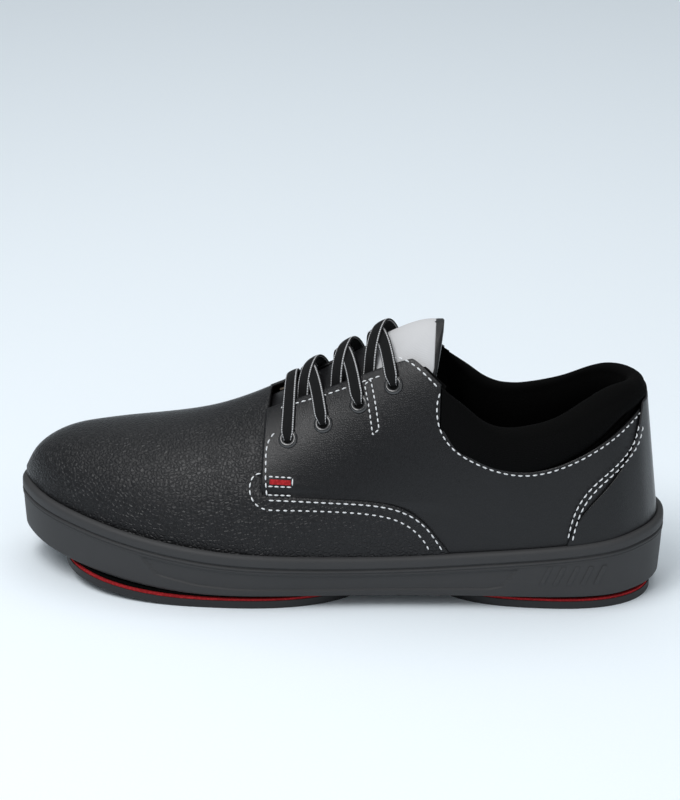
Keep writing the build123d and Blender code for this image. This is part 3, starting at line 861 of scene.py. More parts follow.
@dataclass(frozen=True)
class Enamel:
    """Black enamel on metal with small wear marks.

    Attributes:
        name: Material name.
        colour: Paint colour.
    """

    name: str
    colour: tuple[float, float, float] = (0.012, 0.012, 0.013)

    def make(self) -> bpy.types.Material:
        """Builds the material."""
        g = Graph(self.name)
        marks = g.noise(g.place(), 900.0, 4.0)
        g.set(Base_Color=g.mix(marks.ramp(0.68, 0.8), self.colour, (0.16, 0.16, 0.17)),
              Roughness=marks * 0.2 + 0.14, Coat_Weight=0.6, Specular_IOR_Level=0.6)
        return g.material


# ---- the upper ---------------------------------------------------------------------------------


def eased(low: float, high: float, count: int) -> np.ndarray:
    """Values from low to high, even in the angle arccos(1 - s/150), so that ends stay round.

    Args:
        low: First value.
        high: Last value.
        count: How many.

    Returns:
        The values.
    """
    a, b = np.arccos(1 - np.array([low, high]) / 150.0)
    return 150 * (1 - np.cos(np.linspace(a, b, count)))


def track_of(points: list[tuple[float, float]]) -> Track:
    """Side view line as a spline of z over t.

    Args:
        points: Distances from the heel end and heights.

    Returns:
        The spline.
    """
    data = np.array(points, float)
    return Track(data[:, 0], data[:, 1])


SEAM_Z = track_of(SEAM)
TOP_Z = track_of(TOPLINE)
RIM_Z = track_of(RIM)
WING_Z = track_of(WING)
THROAT_W = track_of(THROAT)


@dataclass
class Vamp:
    """Vamp with its two wings, in pebbled leather.

    Attributes:
        leather: Finish.
        thickness: Leather thickness.
        lift: How far the wings stand above the quarters.
        split: Station at which the wings part from the toe.
    """

    leather: bpy.types.Material
    thickness: float = 1.5
    lift: float = 0.9
    split: float = 183.8

    def depth(self, s: np.ndarray, z: np.ndarray) -> np.ndarray:
        """Depth of the skin: raised where a wing laps over a quarter."""
        return -self.lift * (1 - smoothstep(183, 200, s)) * (1 - smoothstep(51.0, 57.0, z))

    def build(self) -> bpy.types.Object:
        """Three welded grids: the arch before the throat and a strip along each side."""
        s = eased(self.split, 300.0, 120)[:, None]
        low = FORM.angle_at_height(s[:, 0], FORM.floor + HIDDEN + FORM.rise(s[:, 0]), Side.OUTER)
        edge = float(FORM.line_angle(np.array([self.split]), WING_Z, Side.OUTER)[0])
        far = math.pi - float(FORM.line_angle(np.array([self.split]), WING_Z, Side.INNER)[0])
        part = np.linspace(0, 1, 26)[None, :]
        outer = low[:, None] * (1 - part) + edge * part
        inner = math.pi - (low[:, None] * part + far * (1 - part))
        middle = np.linspace(edge, math.pi - far, 92)[None, :] + 0 * s
        angles = np.concatenate([outer[:, :-1], middle, inner[:, 1:]], 1)
        z = FORM.at(s, angles)[..., 2]
        grids = [FORM.at(s, angles, self.depth(s, z))]
        flips = [True]
        back = eased(97.0, self.split, 84)[:, None]
        for side in Side:
            start = FORM.angle_at_height(back[:, 0], FORM.floor + HIDDEN, side)
            end = FORM.line_angle(back[:, 0], WING_Z, side)
            wing = start[:, None] * (1 - part) + end[:, None] * part
            z = FORM.at(back, wing)[..., 2]
            grids.append(FORM.at(back, wing, self.depth(back, z)))
            flips.append(side is Side.OUTER)
        points, faces = weld(grids, flips)
        obj = build_mesh("vamp_skin", points, faces, self.leather)
        solidify(obj, self.thickness)
        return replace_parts(obj, "vamp")


@dataclass
class Quarter:
    """One quarter: from the facing round to the heel, above the wing and below the collar.

    Attributes:
        side: Which side of the shoe.
        leather: Finish.
        node: CAD node it stands for.
        thickness: Leather thickness.
    """

    side: Side
    leather: bpy.types.Material
    node: str
    thickness: float = 1.5

    def depth(self, s: np.ndarray, z: np.ndarray) -> np.ndarray:
        """Depth of the skin: the facing stands above the vamp, the foot goes under the wing."""
        front = smoothstep(150, 178, s) * smoothstep(52.5, 57.0, z)
        return -LAP * front + 0.5 * (1 - smoothstep(46.0, 51.5, z)) * smoothstep(92, 104, s)

    def top(self, s: np.ndarray) -> np.ndarray:
        """Arch angle of the facing and instep edge."""
        y = THROAT_Y + self.side.value * THROAT_W(np.minimum(s + 0.5, 182.0))
        throat = FORM.angle_at_plan(s, y)
        line = FORM.line_angle(np.minimum(s, 141.0), TOP_Z, self.side)
        rounded = smoothstep(150.0, 136.0, s)
        if self.side is Side.OUTER:
            return np.minimum(throat, line + (1 - rounded))
        return np.maximum(throat, line - (1 - rounded))

    def build(self) -> bpy.types.Object:
        """Two welded grids: a lower band from heel to facing, and the facing above it."""
        low_line = track_of([(-6, 22), (60, 21), (92, 22), (99, 23), (103, 27), (108, 33), (115, 39.5),
                             (122, 43.5), (131, 46), (150, 47), (190, 47.5)])
        shelf = track_of([(102, 84), (118, 83), (140, 76), (165, 67), (190, 61)])
        heel, front = eased(0.0, 103.0, 90), eased(103.0, 184.6, 84)
        stations = np.concatenate([heel, front[1:]])
        start = FORM.line_angle(stations, low_line, self.side)
        middle = np.where(stations <= 102.5, FORM.line_angle(stations, SEAM_Z, self.side),
                          FORM.line_angle(stations, shelf, self.side))
        part = np.linspace(0, 1, 56)[None, :]
        lower = start[:, None] * (1 - part) + middle[:, None] * part
        upper_start = FORM.line_angle(front, shelf, self.side)
        part2 = np.linspace(0, 1, 44)[None, :]
        upper = upper_start[:, None] * (1 - part2) + self.top(front)[:, None] * part2
        grids = []
        for s, angles in ((stations[:, None], lower), (front[:, None], upper)):
            z = FORM.at(s, angles)[..., 2]
            grids.append(FORM.at(s, angles, self.depth(s, z)))
        flip = self.side is Side.OUTER
        points, faces = weld(grids, [flip, flip])
        obj = build_mesh(self.node + "_skin", points, faces, self.leather)
        solidify(obj, self.thickness)
        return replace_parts(obj, self.node)


@dataclass
class Backstay:
    """Heel overlay lying on both quarters.

    Attributes:
        leather: Finish.
        thickness: Leather thickness.
        lift: Height of its face above the quarters.
    """

    leather: bpy.types.Material
    thickness: float = 1.2
    lift: float = 1.25

    def build(self) -> bpy.types.Object:
        """Grid round the heel, its ends on the curved front edge of the overlay."""
        edge = np.array(BACKSTAY_EDGE)[::-1]
        t_edge = Track(edge[:, 1], edge[:, 0])
        v = np.linspace(0, 1, 60)[None, :]
        w = np.linspace(-1, 1, 121)[:, None]
        nominal = 25 + 71 * v + 0 * w
        s = FORM.station(t_edge(nominal), nominal) * w**2
        z = 25 + (SEAM_Z(s) - 25.2) * v
        outer = FORM.at(s, FORM.angle_at_height(s, z, Side.OUTER, -self.lift), -self.lift)
        inner = FORM.at(s, FORM.angle_at_height(s, z, Side.INNER, -self.lift), -self.lift)
        points = np.where(w[..., None] < 0, outer, inner)
        faces = grid_faces(121, 60)
        obj = build_mesh("backstay_skin", points.reshape(-1, 3), faces, self.leather)
        solidify(obj, self.thickness)
        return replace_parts(obj, "backstay")


@dataclass
class Collar:
    """Padded cloth collar: a puffed U section carried round the ankle.

    Attributes:
        cloth: Finish.
        padding: Thickness from outside to inside.
        puff: Outward bulge of the padding.
        end: Station of the front ends.
    """

    cloth: bpy.types.Material
    padding: float = 8.5
    puff: float = 1.5
    end: float = 102.6

    def build(self) -> bpy.types.Object:
        """Section over v: up the outside, over a half circle, and down the inside."""
        w = np.linspace(-1, 1, 221)[:, None]
        v = np.linspace(0, 1, 60)[None, :]
        s = self.end * w**2
        low, high = SEAM_Z(s), TOP_Z(s)
        close = smoothstep(1.0, 0.90, np.abs(w))
        radius = 0.5 * self.padding * (0.35 + 0.65 * close)
        crest = high - radius - 2.5 * (1 - smoothstep(12.0, 60.0, s))
        up = np.clip(v / 0.42, 0, 1)
        over = np.clip((v - 0.42) / 0.2, 0, 1)
        down = np.clip((v - 0.62) / 0.38, 0, 1)
        puff = self.puff * np.clip((high - low) / 18.0, 0.35, 1.0)
        bulge = puff * np.sin(math.pi * up) ** 0.8 * close
        tucked = 1 - smoothstep(0.0, 0.07, v)
        outside = -0.25 - bulge + 2.2 * tucked
        depth = outside + radius * (1 - np.cos(math.pi * over)) + 1.4 * np.sin(math.pi * down) * close
        z = (low - 3.0 * tucked + (crest - low) * up + radius * np.sin(math.pi * over)
             - (crest - low + 7.0) * down)
        soft = 0.22 * close * np.sin(math.pi * np.clip(v / 0.9, 0, 1))
        flat = FORM.at(s, FORM.angle_at_height(s, z, Side.OUTER))
        depth = depth + soft * ripple(flat, 24.0, 0.7) + 0.4 * soft * ripple(flat, 9.0, 2.0)
        outer = FORM.at(s, FORM.angle_at_height(s, z, Side.OUTER, depth), depth)
        inner = FORM.at(s, FORM.angle_at_height(s, z, Side.INNER, depth), depth)
        points = np.where(w[..., None] < 0, outer, inner)
        run, rise = travelled(points[:, 20]), travelled(points[60])
        uv = np.stack(np.meshgrid(run, rise, indexing="ij"), -1).reshape(-1, 2)
        obj = build_mesh("collar_skin", points.reshape(-1, 3), grid_faces(221, 60),
                         self.cloth, uv=uv)
        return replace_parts(obj, "collar_cover", "collar_foam")


@dataclass
class Tongue:
    """Padded tongue with a leather face and a blank woven label near its top.

    Attributes:
        leather: Finish of the body.
        label: Finish of the label.
        depth: Depth of the face under the surface of the form.
        padding: Thickness.
    """

    leather: bpy.types.Material
    label: bpy.types.Material
    depth: float = 4.3
    padding: float = 6.5

    def half(self, t: np.ndarray) -> np.ndarray:
        """Half width over the length, rounded at the top end."""
        body = np.interp(t, [100, 112, 125, 150, 175, 188], [24.0, 27.0, 28.0, 25.0, 20.5, 18.0])
        return body * np.sqrt(np.clip((t - 103.0) / 7.5, 0.0, 1.0)) ** 0.8

    def face(self, t: np.ndarray, part: np.ndarray, lower: float) -> np.ndarray:
        """Points of the face at length t and part of the half width, pushed down by lower."""
        y = THROAT_Y + part * self.half(t)
        return FORM.on_plan(np.stack(np.broadcast_arrays(t, y), -1), self.depth + lower)

    def build(self) -> list[bpy.types.Object]:
        """Rings round the tongue at each length, and the label on its face."""
        t = np.linspace(187.5, 103.05, 110)[:, None]
        turn = np.linspace(0, 2 * math.pi, 73)[None, :]
        part = np.sign(np.cos(turn)) * np.abs(np.cos(turn)) ** 0.7
        thick = 0.5 * self.padding * np.interp(t, [103, 106, 112, 187.5], [0.55, 0.95, 1.0, 0.6])
        raised = np.sign(np.sin(turn)) * np.abs(np.sin(turn)) ** 0.7
        lower = thick * (1 - raised) + 0 * t
        y = THROAT_Y + part * self.half(t)
        plan = np.stack(np.broadcast_arrays(t, y), -1)
        ring = FORM.on_plan(plan, self.depth + lower)
        ring = ring + np.array([0, 0, 0.25]) * ripple(ring, 22.0, 1.2)[..., None]
        body = build_mesh("tongue_body", ring.reshape(-1, 3), grid_faces(110, 73)[:, ::-1],
                          self.leather, body="tongue")
        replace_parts(body, "tongue_leather", "tongue_foam", "tongue_lining")
        u = np.linspace(0, 1, 60)[:, None]
        v = np.linspace(-1, 1, 60)[None, :]
        length = 138.0 + (107.2 - 138.0) * u + 0 * v
        lift = self.face(length, 0.86 * v, -0.75 + 0.55 * np.abs(v) ** 6 + 0.8 * u**8)
        uv = np.stack(np.broadcast_arrays(u * 31, v * 20), -1).reshape(-1, 2)
        label = build_mesh("tongue_label_skin", lift.reshape(-1, 3), grid_faces(60, 60),
                           self.label, body="tongue", uv=uv)
        solidify(label, 0.6)
        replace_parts(label, "tongue_label")
        return [body, label]


# ---- stitches, eyelets and lace ----------------------------------------------------------------


@dataclass
class StitchRow:
    """Rows of single stitches along surface curves, all in one mesh.

    Attributes:
        name: Object name.
        thread: Finish.
        pitch: Distance from stitch to stitch.
        length: Length of a stitch.
        width: Width of the thread.
    """

    name: str
    thread: bpy.types.Material
    pitch: float = 3.3
    length: float = 2.55
    width: float = 0.72
    parts: list[tuple[np.ndarray, np.ndarray]] = field(default_factory=list)

    def add(self, curve: np.ndarray) -> None:
        """Lays stitches along a surface curve.

        Each stitch is a rod of six sides in five rings; its rings rise over half a sine.

        Args:
            curve: n by 3 points on the surface.
        """
        total = float(np.linalg.norm(np.diff(curve, axis=0), axis=1).sum())
        count = max(1, int(total / self.pitch))
        fine = resample(curve, 12 * count + 1)
        normal = FORM.normal(fine)
        along = np.linspace(0.06, 0.94 * self.length / self.pitch + 0.06, 5)
        index = (np.arange(count)[:, None] + along[None, :]) * 12
        low = np.clip(index.astype(int), 0, len(fine) - 2)
        part = (index - low)[..., None]
        centre = fine[low] * (1 - part) + fine[low + 1] * part
        up = normal[low]
        forward = unit(fine[low + 1] - fine[low])
        across = np.cross(up, forward)
        turn = np.arange(6) * math.pi / 3
        swell = np.array([0.25, 0.9, 1.0, 0.9, 0.25])[None, :, None, None]
        rise = (np.array([-0.25, 0.22, 0.34, 0.22, -0.25]) * self.width)[None, :, None, None]
        ring = (np.cos(turn)[:, None] * across[:, :, None, :] * 0.5
                + np.sin(turn)[:, None] * up[:, :, None, :] * 0.4)
        points = centre[:, :, None, :] + ring * swell * self.width + up[:, :, None, :] * rise
        self.parts.append((points.reshape(-1, 3), np.array([count])))

    def build(self) -> bpy.types.Object:
        """Joins every stitch into one mesh."""
        points = np.concatenate([p for p, _ in self.parts])
        count = int(sum(c[0] for _, c in self.parts))
        i = np.arange(4)[:, None]
        j = np.arange(6)[None, :]
        quad = np.stack([i * 6 + (j + 1) % 6, (i + 1) * 6 + (j + 1) % 6, (i + 1) * 6 + j, i * 6 + j], -1)
        faces = (quad.reshape(-1, 4)[None] + 30 * np.arange(count)[:, None, None]).reshape(-1, 4)
        return build_mesh(self.name, points, faces, self.thread)


def side_curve(points: list[tuple[float, float]], side: Side, depth: float = 0.0,
               straight: bool = False) -> np.ndarray:
    """Surface curve through side view points, as a spline or as straight steps.

    Args:
        points: Distances from the heel end and heights.
        side: Side of the shoe.
        depth: Distance inwards from the leather surface.
        straight: Whether the steps stay straight.

    Returns:
        n by 3 points.
    """
    data = np.array(points, float)
    if straight:
        line = resample(data, 80)
    else:
        line = resample(path_track(data)(np.linspace(0, 1, 200)), 160)
    return FORM.on_side(line, side, depth)


@dataclass
class Stitching:
    """Every visible row of thread on the upper.

    Attributes:
        thread: Finish.
    """

    thread: bpy.types.Material

    def build(self) -> list[bpy.types.Object]:
        """Rows of the wing, facing, tacks, collar and heel overlay on both sides."""
        made = []
        for side in Side:
            rows = StitchRow(f"stitches_{side.name.lower()}", self.thread)
            rows.add(side_curve([(180.8, 50.6), (166.3, 50.5), (148.2, 50.2), (131, 49.3), (121, 47.2),
                                 (114, 43.9), (108, 38.6), (103.6, 32.6), (101, 28.5)], side, -LAP))
            rows.add(side_curve([(184.5, 61.2), (187.6, 60), (189.3, 56.4), (188.5, 51.5), (185.4, 48.0),
                                 (176, 46.4), (148, 46.3), (131, 45.0), (121.5, 42.6), (114.5, 38.4),
                                 (109.8, 33.4), (107, 28.5)], side, -0.75))
            rows.add(side_curve([(181.4, 52.4), (182.2, 58), (182.6, 66), (182.0, 73.0), (179.0, 77.2)],
                                side, -LAP))
            t = np.linspace(177.5, 131.5, 60)
            facing = np.stack([t, THROAT_Y + side.value * (THROAT_W(t) + 2.4)], -1)
            rows.add(FORM.on_plan(facing, facing_lift(t)))
            rows.add(side_curve([(131, 110.2), (126, 111.9), (121, 111.7), (115, 109.2), (109, 105.0),
                                 (105.5, 102.0)], side, 0.0))
            rows.add(side_curve([(t, z - 1.5) for t, z in SEAM[1:-1]] + [(103.8, 84), (105.6, 91),
                                 (105.4, 97), (104.4, 100.5)], side, 0.0))
            edge = [(t, z) for t, z in BACKSTAY_EDGE[1:-1]]
            for step in (1.4, 3.8):
                rows.add(side_curve([(t - step * 0.85, z - step * 0.5) for t, z in edge], side, -1.3))
            tack = StitchRow(f"bar_tack_{side.name.lower()}", self.thread, 2.6, 2.1, 0.7)
            for z in (60.2, 56.3, 52.8):
                tack.add(side_curve([(181.2, z), (170.0, z + 0.1)], side, -LAP, True))
            tack.add(side_curve([(170.0, 60.2), (170.0, 56.4)], side, -LAP, True))
            y = side.value
            box = np.array([(139.0, THROAT_Y + y * 19.5), (136.4, THROAT_Y + y * 18.6),
                            (131.6, THROAT_Y + y * 30.5), (134.4, THROAT_Y + y * 31.2),
                            (139.0, THROAT_Y + y * 19.5)])
            tack.add(FORM.on_plan(resample(box, 60), 0.0))
            made += [rows.build(), tack.build()]
        return made


@dataclass
class RedTab:
    """Small red accent inside the upper tack box.

    Attributes:
        cloth: Finish.
        lift: Height above the surface of the form.
    """

    cloth: bpy.types.Material
    lift: float = 1.08

    def build(self, side: Side) -> bpy.types.Object:
        """Grid over the side view box."""
        t = np.linspace(180.4, 170.8, 12)[:, None]
        z = np.linspace(57.2, 59.3, 6)[None, :]
        line = np.stack(np.broadcast_arrays(t, z), -1)
        faces = grid_faces(12, 6)
        points = FORM.on_side(line, side, -self.lift).reshape(-1, 3)
        flip = side is Side.INNER
        return build_mesh(f"red_tab_{side.name.lower()}", points, faces[:, ::-1] if flip else faces,
                          self.cloth)


@dataclass
class Eyelets:
    """Rolled rings, four a side, each hole capped by a near-black disc that is painted shade of the hole.

    Attributes:
        enamel: Finish of the rings.
        dark: Finish of the discs over the holes, a painted shade standing in for the hollow of each hole.
    """

    enamel: bpy.types.Material
    dark: bpy.types.Material

    def build(self, side: Side, node: str) -> bpy.types.Object:
        """Profile of radius and height turned round each surface direction; its first step is the flat disc
        of painted hole shade.
        """
        profile = np.array([(0.05, 0.12), (2.1, 0.12), (2.15, 0.35), (2.4, 0.85), (2.9, 1.12), (3.5, 1.1),
                            (4.1, 0.8), (4.45, 0.3), (4.5, -0.3)])
        turn = np.linspace(0, 2 * math.pi, 41)
        points, faces = [], []
        for i, (t, half) in enumerate(EYELETS):
            lift = float(facing_lift(np.array(t)))
            spot = FORM.on_plan(np.array([[t, THROAT_Y + side.value * half]]), lift)
            up = FORM.normal(spot)[0]
            a = unit(np.cross(up, [1.0, 0, 0]))
            b = np.cross(up, a)
            ring = np.cos(turn)[:, None, None] * a + np.sin(turn)[:, None, None] * b
            ring = ring * profile[None, :, :1]
            points.append((spot[0] + ring + up * profile[None, :, 1:]).reshape(-1, 3))
            faces.append(grid_faces(41, 9, offset=i * 41 * 9)[:, ::-1])
        obj = build_mesh(node + "_rings", np.concatenate(points), np.concatenate(faces),
                         self.enamel)
        obj.data.materials.append(self.dark)
        # The flat disc over each hole takes the near-black second finish: painted shade of the hole.
        index = np.concatenate([np.where(np.arange(40 * 8) % 8 == 0, 1, 0)] * 4)
        obj.data.polygons.foreach_set("material_index", index.astype(np.int32))
        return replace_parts(obj, node)


@dataclass
class Lace:
    """Flat braid: each run leaves an eyelet, crosses the throat and goes under the far facing.

    Attributes:
        braid: Finish.
        width: Width of the braid.
        thickness: Thickness of the braid.
    """

    braid: bpy.types.Material
    width: float = 6.4
    thickness: float = 1.3

    def crossing(self, start: np.ndarray, end: np.ndarray) -> float:
        """Distance along a run at which it meets the far edge of the throat."""
        part = np.linspace(0, 1, 400)
        t = start[0] + (end[0] - start[0]) * part
        y = start[1] + (end[1] - start[1]) * part
        side = np.sign(end[1] - start[1])
        inside = side * (y - THROAT_Y) < THROAT_W(t)
        return float(part[np.argmin(inside)] * np.hypot(*(end - start)))

    def run(self, start: np.ndarray, end: np.ndarray, straight: bool, lift: float) -> tuple:
        """Ribbon of one run: rows of a flattened ring along a spline over the surface.

        Args:
            start: Plan position of the eyelet it leaves.
            end: Plan position of the eyelet it reaches.
            straight: Whether it ends over the far eyelet.
            lift: Extra height in the middle, where it crosses another run.

        Returns:
            Points and UVs of the ribbon grid.
        """
        along = float(np.hypot(*(end - start)))
        head = [(-0.1, -1.2), (0.2, 0.4), (1.3, 1.6), (3.2, 2.1), (6.0, 1.9)]
        if straight:
            tail = [(along - d, h) for d, h in head[::-1]]
            keys = head + [(along * 0.35, 1.6), (along * 0.5, 1.5), (along * 0.65, 1.6)] + tail
        else:
            edge = self.crossing(start, end)
            keys = head + [(edge * 0.45, 1.2 + lift), (edge - 8.0, 1.0 + 0.3 * lift), (edge - 5.0, 0.1),
                           (edge - 2.6, -1.5), (edge - 0.4, -2.9), (edge + 2.5, -3.3), (edge + 6.0, -3.3)]
        keys = np.array(keys)
        part = keys[:, :1] / along
        plan = start + (end - start) * part
        spots = FORM.on_plan(plan)
        up = FORM.normal(spots)
        spine = resample(path_track(spots + up * keys[:, 1:])(np.linspace(0, 1, 400)), 120)
        normal = FORM.normal(spine)
        forward = unit(np.gradient(spine, axis=0))
        across = unit(np.cross(normal, forward))
        over = np.cross(forward, across)
        length = np.linspace(0, np.linalg.norm(np.diff(spine, axis=0), axis=1).sum(), 120)
        pinch = 0.5 + 0.5 * smoothstep(0.5, 7.0, length)
        if straight:
            pinch = pinch * (0.5 + 0.5 * smoothstep(0.5, 7.0, length[::-1]))
        turn = np.linspace(0, 2 * math.pi, 33)
        c, s = np.cos(turn), np.sin(turn)
        a = np.sign(c) * np.abs(c) ** 0.55 * self.width / 2
        b = np.sign(s) * np.abs(s) ** 0.8 * self.thickness / 2
        cup = 0.25 * (a / (self.width / 2)) ** 2
        points = (spine[:, None] + across[:, None] * (a[None] * pinch[:, None])[..., None]
                  + over[:, None] * ((b - cup)[None] / np.sqrt(pinch)[:, None])[..., None])
        uv = np.stack(np.broadcast_arrays(a[None] + self.width / 2, length[:, None]), -1)
        return points, uv

    def build(self) -> bpy.types.Object:
        """Every run, joined into one mesh."""
        spots = {(i, side): np.array([t, THROAT_Y + side * half])
                 for i, (t, half) in enumerate(EYELETS) for side in (-1, 1)}
        runs = [(0, 0, -1)] + [(i, i - 1, side) for i in (1, 2, 3) for side in (-1, 1)]
        points, uvs, faces = [], [], []
        for n, (upper, lower, side) in enumerate(runs):
            lift = 1.5 if side == 1 else 0.0
            grid, uv = self.run(spots[upper, side], spots[lower, -side], upper == lower, lift)
            points.append(grid.reshape(-1, 3))
            uvs.append(uv.reshape(-1, 2))
            faces.append(grid_faces(120, 33, offset=n * 120 * 33)[:, ::-1])
        obj = build_mesh("lace_braid", np.concatenate(points), np.concatenate(faces),
                         self.braid, uv=np.concatenate(uvs))
        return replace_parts(obj, "lace")


# ---- the sole ----------------------------------------------------------------------------------


def wall_draft(part: np.ndarray) -> np.ndarray:
    """Inward lean of the side wall.

    Args:
        part: Height as a share of the wall, 0 at the foot to 1 at the rim.

    Returns:
        Distance in from the outline, in millimetres.
    """
    return 1.5 * (1 - part) ** 1.4


@dataclass
class CupSole:
    """Moulded cup: rim band, groove, recessed side panels and rounded foot.

    Attributes:
        rubber: Finish.
        base: Height of the underside.
        count: Points round the outline.
        foot_radius: Radius of the rounded lower edge.
    """

    rubber: bpy.types.Material
    base: float = 6.0
    count: int = 560
    foot_radius: float = 2.6

    def outline(self) -> np.ndarray:
        """Closed plan outline as a spline over chord length, evenly resampled."""
        rows = STATIONS[1:-1]
        outer = np.stack([150 - rows[:, 0], -rows[:, 1]], 1)
        inner = np.stack([150 - rows[:, 0], rows[:, 2]], 1)[::-1]
        ring = np.concatenate([[[150.0, 0.0]], outer, [[-150.0, 3.0]], inner])
        wrapped = np.concatenate([ring[-4:], ring, ring[:5]])
        step = travelled(wrapped)
        spline = Track(step, wrapped)
        dense = spline(np.linspace(step[4], step[4 + len(ring)], 4000))
        return resample(dense, self.count + 1)[:-1]

    def build(self) -> bpy.types.Object:
        """Profile of inward offset and height carried round the outline.

        Heights hang from the rim above and stand on the underside below; the side panel is an
        inward step where smooth windows of length and height overlap.
        """
        plan = self.outline()
        forward = unit(np.roll(plan, -1, 0) - np.roll(plan, 1, 0))
        outward = np.stack([forward[:, 1], -forward[:, 0]], 1)
        centre = plan.mean(0)
        outward *= np.sign(((plan - centre) * outward).sum(1)).mean()
        t = 150 - plan[:, 0]
        rim = RIM_Z(t)
        foot = self.base + FORM.rise(t)
        upper = np.array(BAND)
        wall = np.linspace(0, 1, 60)[1:]
        top_z = rim[:, None] + upper[None, :, 1]
        low_z = foot + self.foot_radius
        wall_z = top_z[:, -1:] + (low_z[:, None] - top_z[:, -1:]) * wall
        part = (wall_z - foot[:, None]) / (rim - foot)[:, None]
        panel_low = np.interp(t, *zip(*PANEL_LOW))
        window = (smoothstep(64.0, 66.5, t)[:, None] * smoothstep(241, 238, t)[:, None]
                  * smoothstep(0.0, 0.7, wall_z - panel_low[:, None])
                  * smoothstep(0.0, 0.6, rim[:, None] - 8.6 - wall_z))
        wall_in = 0.1 + wall_draft(part) + 0.75 * window
        turn = np.linspace(0, math.pi / 2, 9)[1:]
        end = wall_in[:, -1]
        round_in = end[:, None] + self.foot_radius * (1 - np.cos(turn))
        round_z = low_z[:, None] - self.foot_radius * np.sin(turn)
        offset = np.concatenate([np.broadcast_to(upper[None, :, 0], top_z.shape), wall_in, round_in], 1)
        height = np.concatenate([top_z, wall_z, round_z], 1)
        xy = plan[:, None] - outward[:, None] * offset[..., None]
        skin = np.concatenate([xy, height[..., None]], -1)
        spine = np.stack([np.clip(plan[:, 0], -110, 112), 0 * t + 1.0], 1)
        flat = []
        for blend in (0.3, 0.65, 1.0):
            inner = xy[:, -1] * (1 - blend) + spine * blend
            z = self.base + FORM.rise(150 - inner[:, 0])
            flat.append(np.concatenate([inner, z[:, None]], 1)[:, None])
        skin = np.concatenate([skin, *flat], 1)
        columns = skin.shape[1]
        obj = build_mesh("cup_skin", skin.reshape(-1, 3), grid_faces(self.count, columns, ring=True),
                         self.rubber)
        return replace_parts(obj, "cupsole")


@dataclass
class HeelBars:
    """Five plain slanted bars moulded on the outer side wall near the heel.

    Attributes:
        rubber: Finish.
    """

    rubber: bpy.types.Material

    def build(self, sole: CupSole) -> bpy.types.Object:
        """Five slim raised bars following the wall."""
        plan = sole.outline()
        side = plan[plan[:, 1] < 0]
        side = side[np.argsort(150 - side[:, 0])]
        t = 150 - side[:, 0]
        points, faces = [], []
        for n in range(5):
            u = np.linspace(0, 1, 14)[:, None]
            v = np.linspace(-1, 1, 7)[None, :]
            z = 13.0 + 9.5 * u + 0 * v
            at = 31.0 + 6.2 * n - 4.0 * u + 1.15 * v
            y = np.interp(at, t, side[:, 1])
            slope = np.gradient(side[:, 1], t)
            nx = -np.interp(at, t, slope)
            out = wall_draft((z - 6) / 25) - 0.35 * (1 - v**6) * (1 - (2 * u - 1) ** 10)
            size = np.sqrt(1 + nx**2)
            grid = np.stack([150 - at + nx * out / size * 0.3, y + out / size, z], -1)
            points.append(grid.reshape(-1, 3))
            faces.append(grid_faces(14, 7, offset=n * 98))
        return build_mesh("heel_bars", np.concatenate(points), np.concatenate(faces),
                          self.rubber)


@dataclass
class CadDress:
    """Finishes for the CAD nodes that no piece replaces.

    Attributes:
        nodes: Objects of the frame by node name.
    """

    nodes: dict[str, bpy.types.Object]

    def apply(self, finishes: dict[str, bpy.types.Material]) -> None:
        """Gives each named node its finish in place of the one it came with.

        Args:
            finishes: Finish by node name.
        """
        for name, material in finishes.items():
            mesh = self.nodes[name].data
            mesh.materials.clear()
            mesh.materials.append(material)


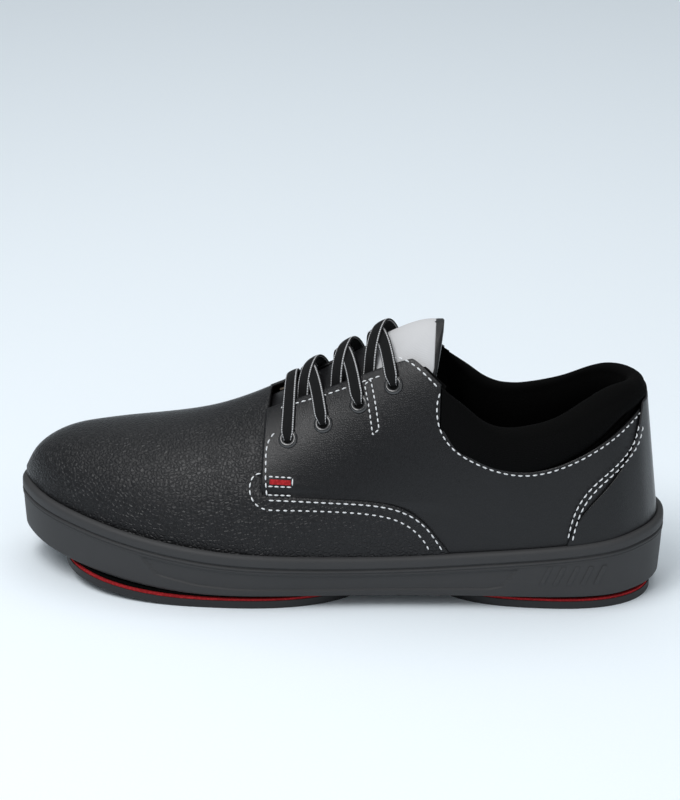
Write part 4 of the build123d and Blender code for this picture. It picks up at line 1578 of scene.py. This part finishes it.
@dataclass
class Studio:
    """Pale floor, soft lights and the camera.

    Attributes:
        azimuth: Turn of the camera from the outer side, in degrees.
        elevation: Height angle of the camera, in degrees.
        roll: Turn of the picture about the view, in degrees.
        distance: From the target to the camera, in metres.
        focal: Focal length as a share of the picture's height, times 800.
        target: Point looked at, in metres.
    """

    azimuth: float = 3.25
    elevation: float = 21.78
    roll: float = 0.86
    distance: float = 1.4
    focal: float = 3036.0
    target: tuple[float, float, float] = (-0.0012, 0.0, 0.0840)

    def build(self) -> None:
        """Places floor, world, lights and camera."""
        g = Graph("floor_paper")
        grain = g.noise(g.place(), 700.0, 3.0)
        g.set(Base_Color=g.mix(grain, (0.86, 0.93, 0.985), (0.90, 0.955, 1.0)), Roughness=grain * 0.1 + 0.8)
        g.bump(grain, 0.02)
        bpy.ops.mesh.primitive_plane_add(size=14.0, location=(0, 0, 0))
        floor = bpy.context.object
        floor.name = "floor"
        floor.data.materials.append(g.material)
        world = bpy.data.worlds.new("studio")
        bpy.context.scene.world = world
        world.use_nodes = True
        world.node_tree.nodes["Background"].inputs[0].default_value = (0.88, 0.95, 1.0, 1.0)
        world.node_tree.nodes["Background"].inputs[1].default_value = 0.40
        for name, place, size, power, aim in (
                ("key", (-0.5, -0.9, 1.35), 0.7, 10.5, (0.0, 0.0, 0.05)),
                ("soft", (-0.35, -0.25, 1.2), 0.4, 3.0, (0.0, 0.0, 0.06)),
                ("fill", (0.9, -1.2, 0.7), 1.2, 3.0, (0.05, 0.0, 0.05)),
                ("top", (0.1, 0.5, 1.6), 1.4, 7.0, (0.0, 0.0, 0.05))):
            light = bpy.data.lights.new(name, "AREA")
            light.energy = power
            light.size = size
            lamp = bpy.data.objects.new(name, light)
            bpy.context.scene.collection.objects.link(lamp)
            lamp.location = place
            lamp.rotation_mode = "QUATERNION"
            lamp.rotation_quaternion = (Vector(aim) - Vector(place)).to_track_quat("-Z", "Y")
        camera = bpy.data.cameras.new("camera")
        camera.sensor_width = 36.0
        camera.lens = self.focal / 800.0 * 36.0
        eye = bpy.data.objects.new("camera", camera)
        bpy.context.scene.collection.objects.link(eye)
        a, e = math.radians(self.azimuth), math.radians(self.elevation)
        back = Vector((math.sin(a) * math.cos(e), -math.cos(a) * math.cos(e), math.sin(e)))
        eye.rotation_mode = "QUATERNION"
        eye.location = Vector(self.target) + back * self.distance
        turn = (-back).to_track_quat("-Z", "Y")
        eye.rotation_quaternion = turn @ Matrix.Rotation(math.radians(self.roll), 4, "Z").to_quaternion()
        bpy.context.scene.camera = eye
        bpy.context.scene.view_settings.view_transform = "Standard"


def main(frame: dict) -> None:
    """Builds every piece in order and reports it.
    """
    logging.basicConfig(level=logging.INFO, format="%(message)s")
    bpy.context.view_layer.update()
    pebbled = Leather("pebbled_leather", grain=560.0, depth=0.28, rough=0.38).make()
    smooth = Leather("smooth_leather", grain=1150.0, depth=0.05, rough=0.30, coat=0.06).make()
    collar_cloth = Cloth("collar_cloth", thread=1.7, mapped=True, depth=0.12).make()
    lining = Cloth("lining_cloth", thread=1.2).make()
    label = Cloth("label_cloth", (0.50, 0.50, 0.51), (0.66, 0.66, 0.67), 2.2, 0.08, True).make()
    thread = Thread("white_thread").make()
    red = Cloth("red_cloth", (0.22, 0.012, 0.014), (0.48, 0.03, 0.035), 1.5).make()
    wall = Rubber("sole_rubber").make()
    tread = Rubber("tread_rubber", (0.018, 0.018, 0.019), (0.032, 0.032, 0.034), 0.5).make()
    board = Cloth("fibre_board", (0.24, 0.2, 0.16), (0.4, 0.34, 0.27), 1.0).make()
    foam = Cloth("foam", (0.03, 0.03, 0.03), (0.1, 0.1, 0.1), 0.9).make()
    steel = Enamel("steel_strip", (0.35, 0.35, 0.36)).make()
    enamel = Enamel("black_enamel").make()
    # Near-black finish for the discs in the eyelet holes: painted shade of the hollow in each hole.
    dark = Cloth("eyelet_hole_shade", (0.002, 0.002, 0.002), (0.006, 0.006, 0.006)).make()
    CadDress(frame["nodes"]).apply({
        "midsole_filler": foam, "shank": steel, "insole_board": board, "footbed": foam,
        "footbed_cover": lining, "forefoot_loop_pad": lining, "heel_loop_pad": lining,
        "forefoot_hook_layer": red, "heel_hook_layer": red, "forefoot_tread_disc": tread,
        "heel_tread_disc": tread, "toe_puff": board, "heel_counter": board, "lateral_facing_stay": board,
        "medial_facing_stay": board, "vamp_lining": lining, "quarter_lining": lining})
    pieces = [Vamp(pebbled).build(),
              Quarter(Side.OUTER, smooth, "lateral_quarter").build(),
              Quarter(Side.INNER, smooth, "medial_quarter").build(),
              Backstay(smooth).build(), Collar(collar_cloth).build()]
    pieces += Tongue(smooth, label).build()
    pieces += Stitching(thread).build()
    pieces += [RedTab(red).build(side) for side in Side]
    pieces += [Eyelets(enamel, dark).build(Side.OUTER, "lateral_eyelets"),
               Eyelets(enamel, dark).build(Side.INNER, "medial_eyelets")]
    pieces.append(Lace(LaceBraid("lace_braid").make()).build())
    sole = CupSole(wall)
    pieces += [sole.build(), HeelBars(wall).build(sole)]
    for piece in pieces:
        LOG.info("%s: %d faces", piece.name, len(piece.data.polygons))
    Studio().build()


if __name__ == "__main__":
    main(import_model())
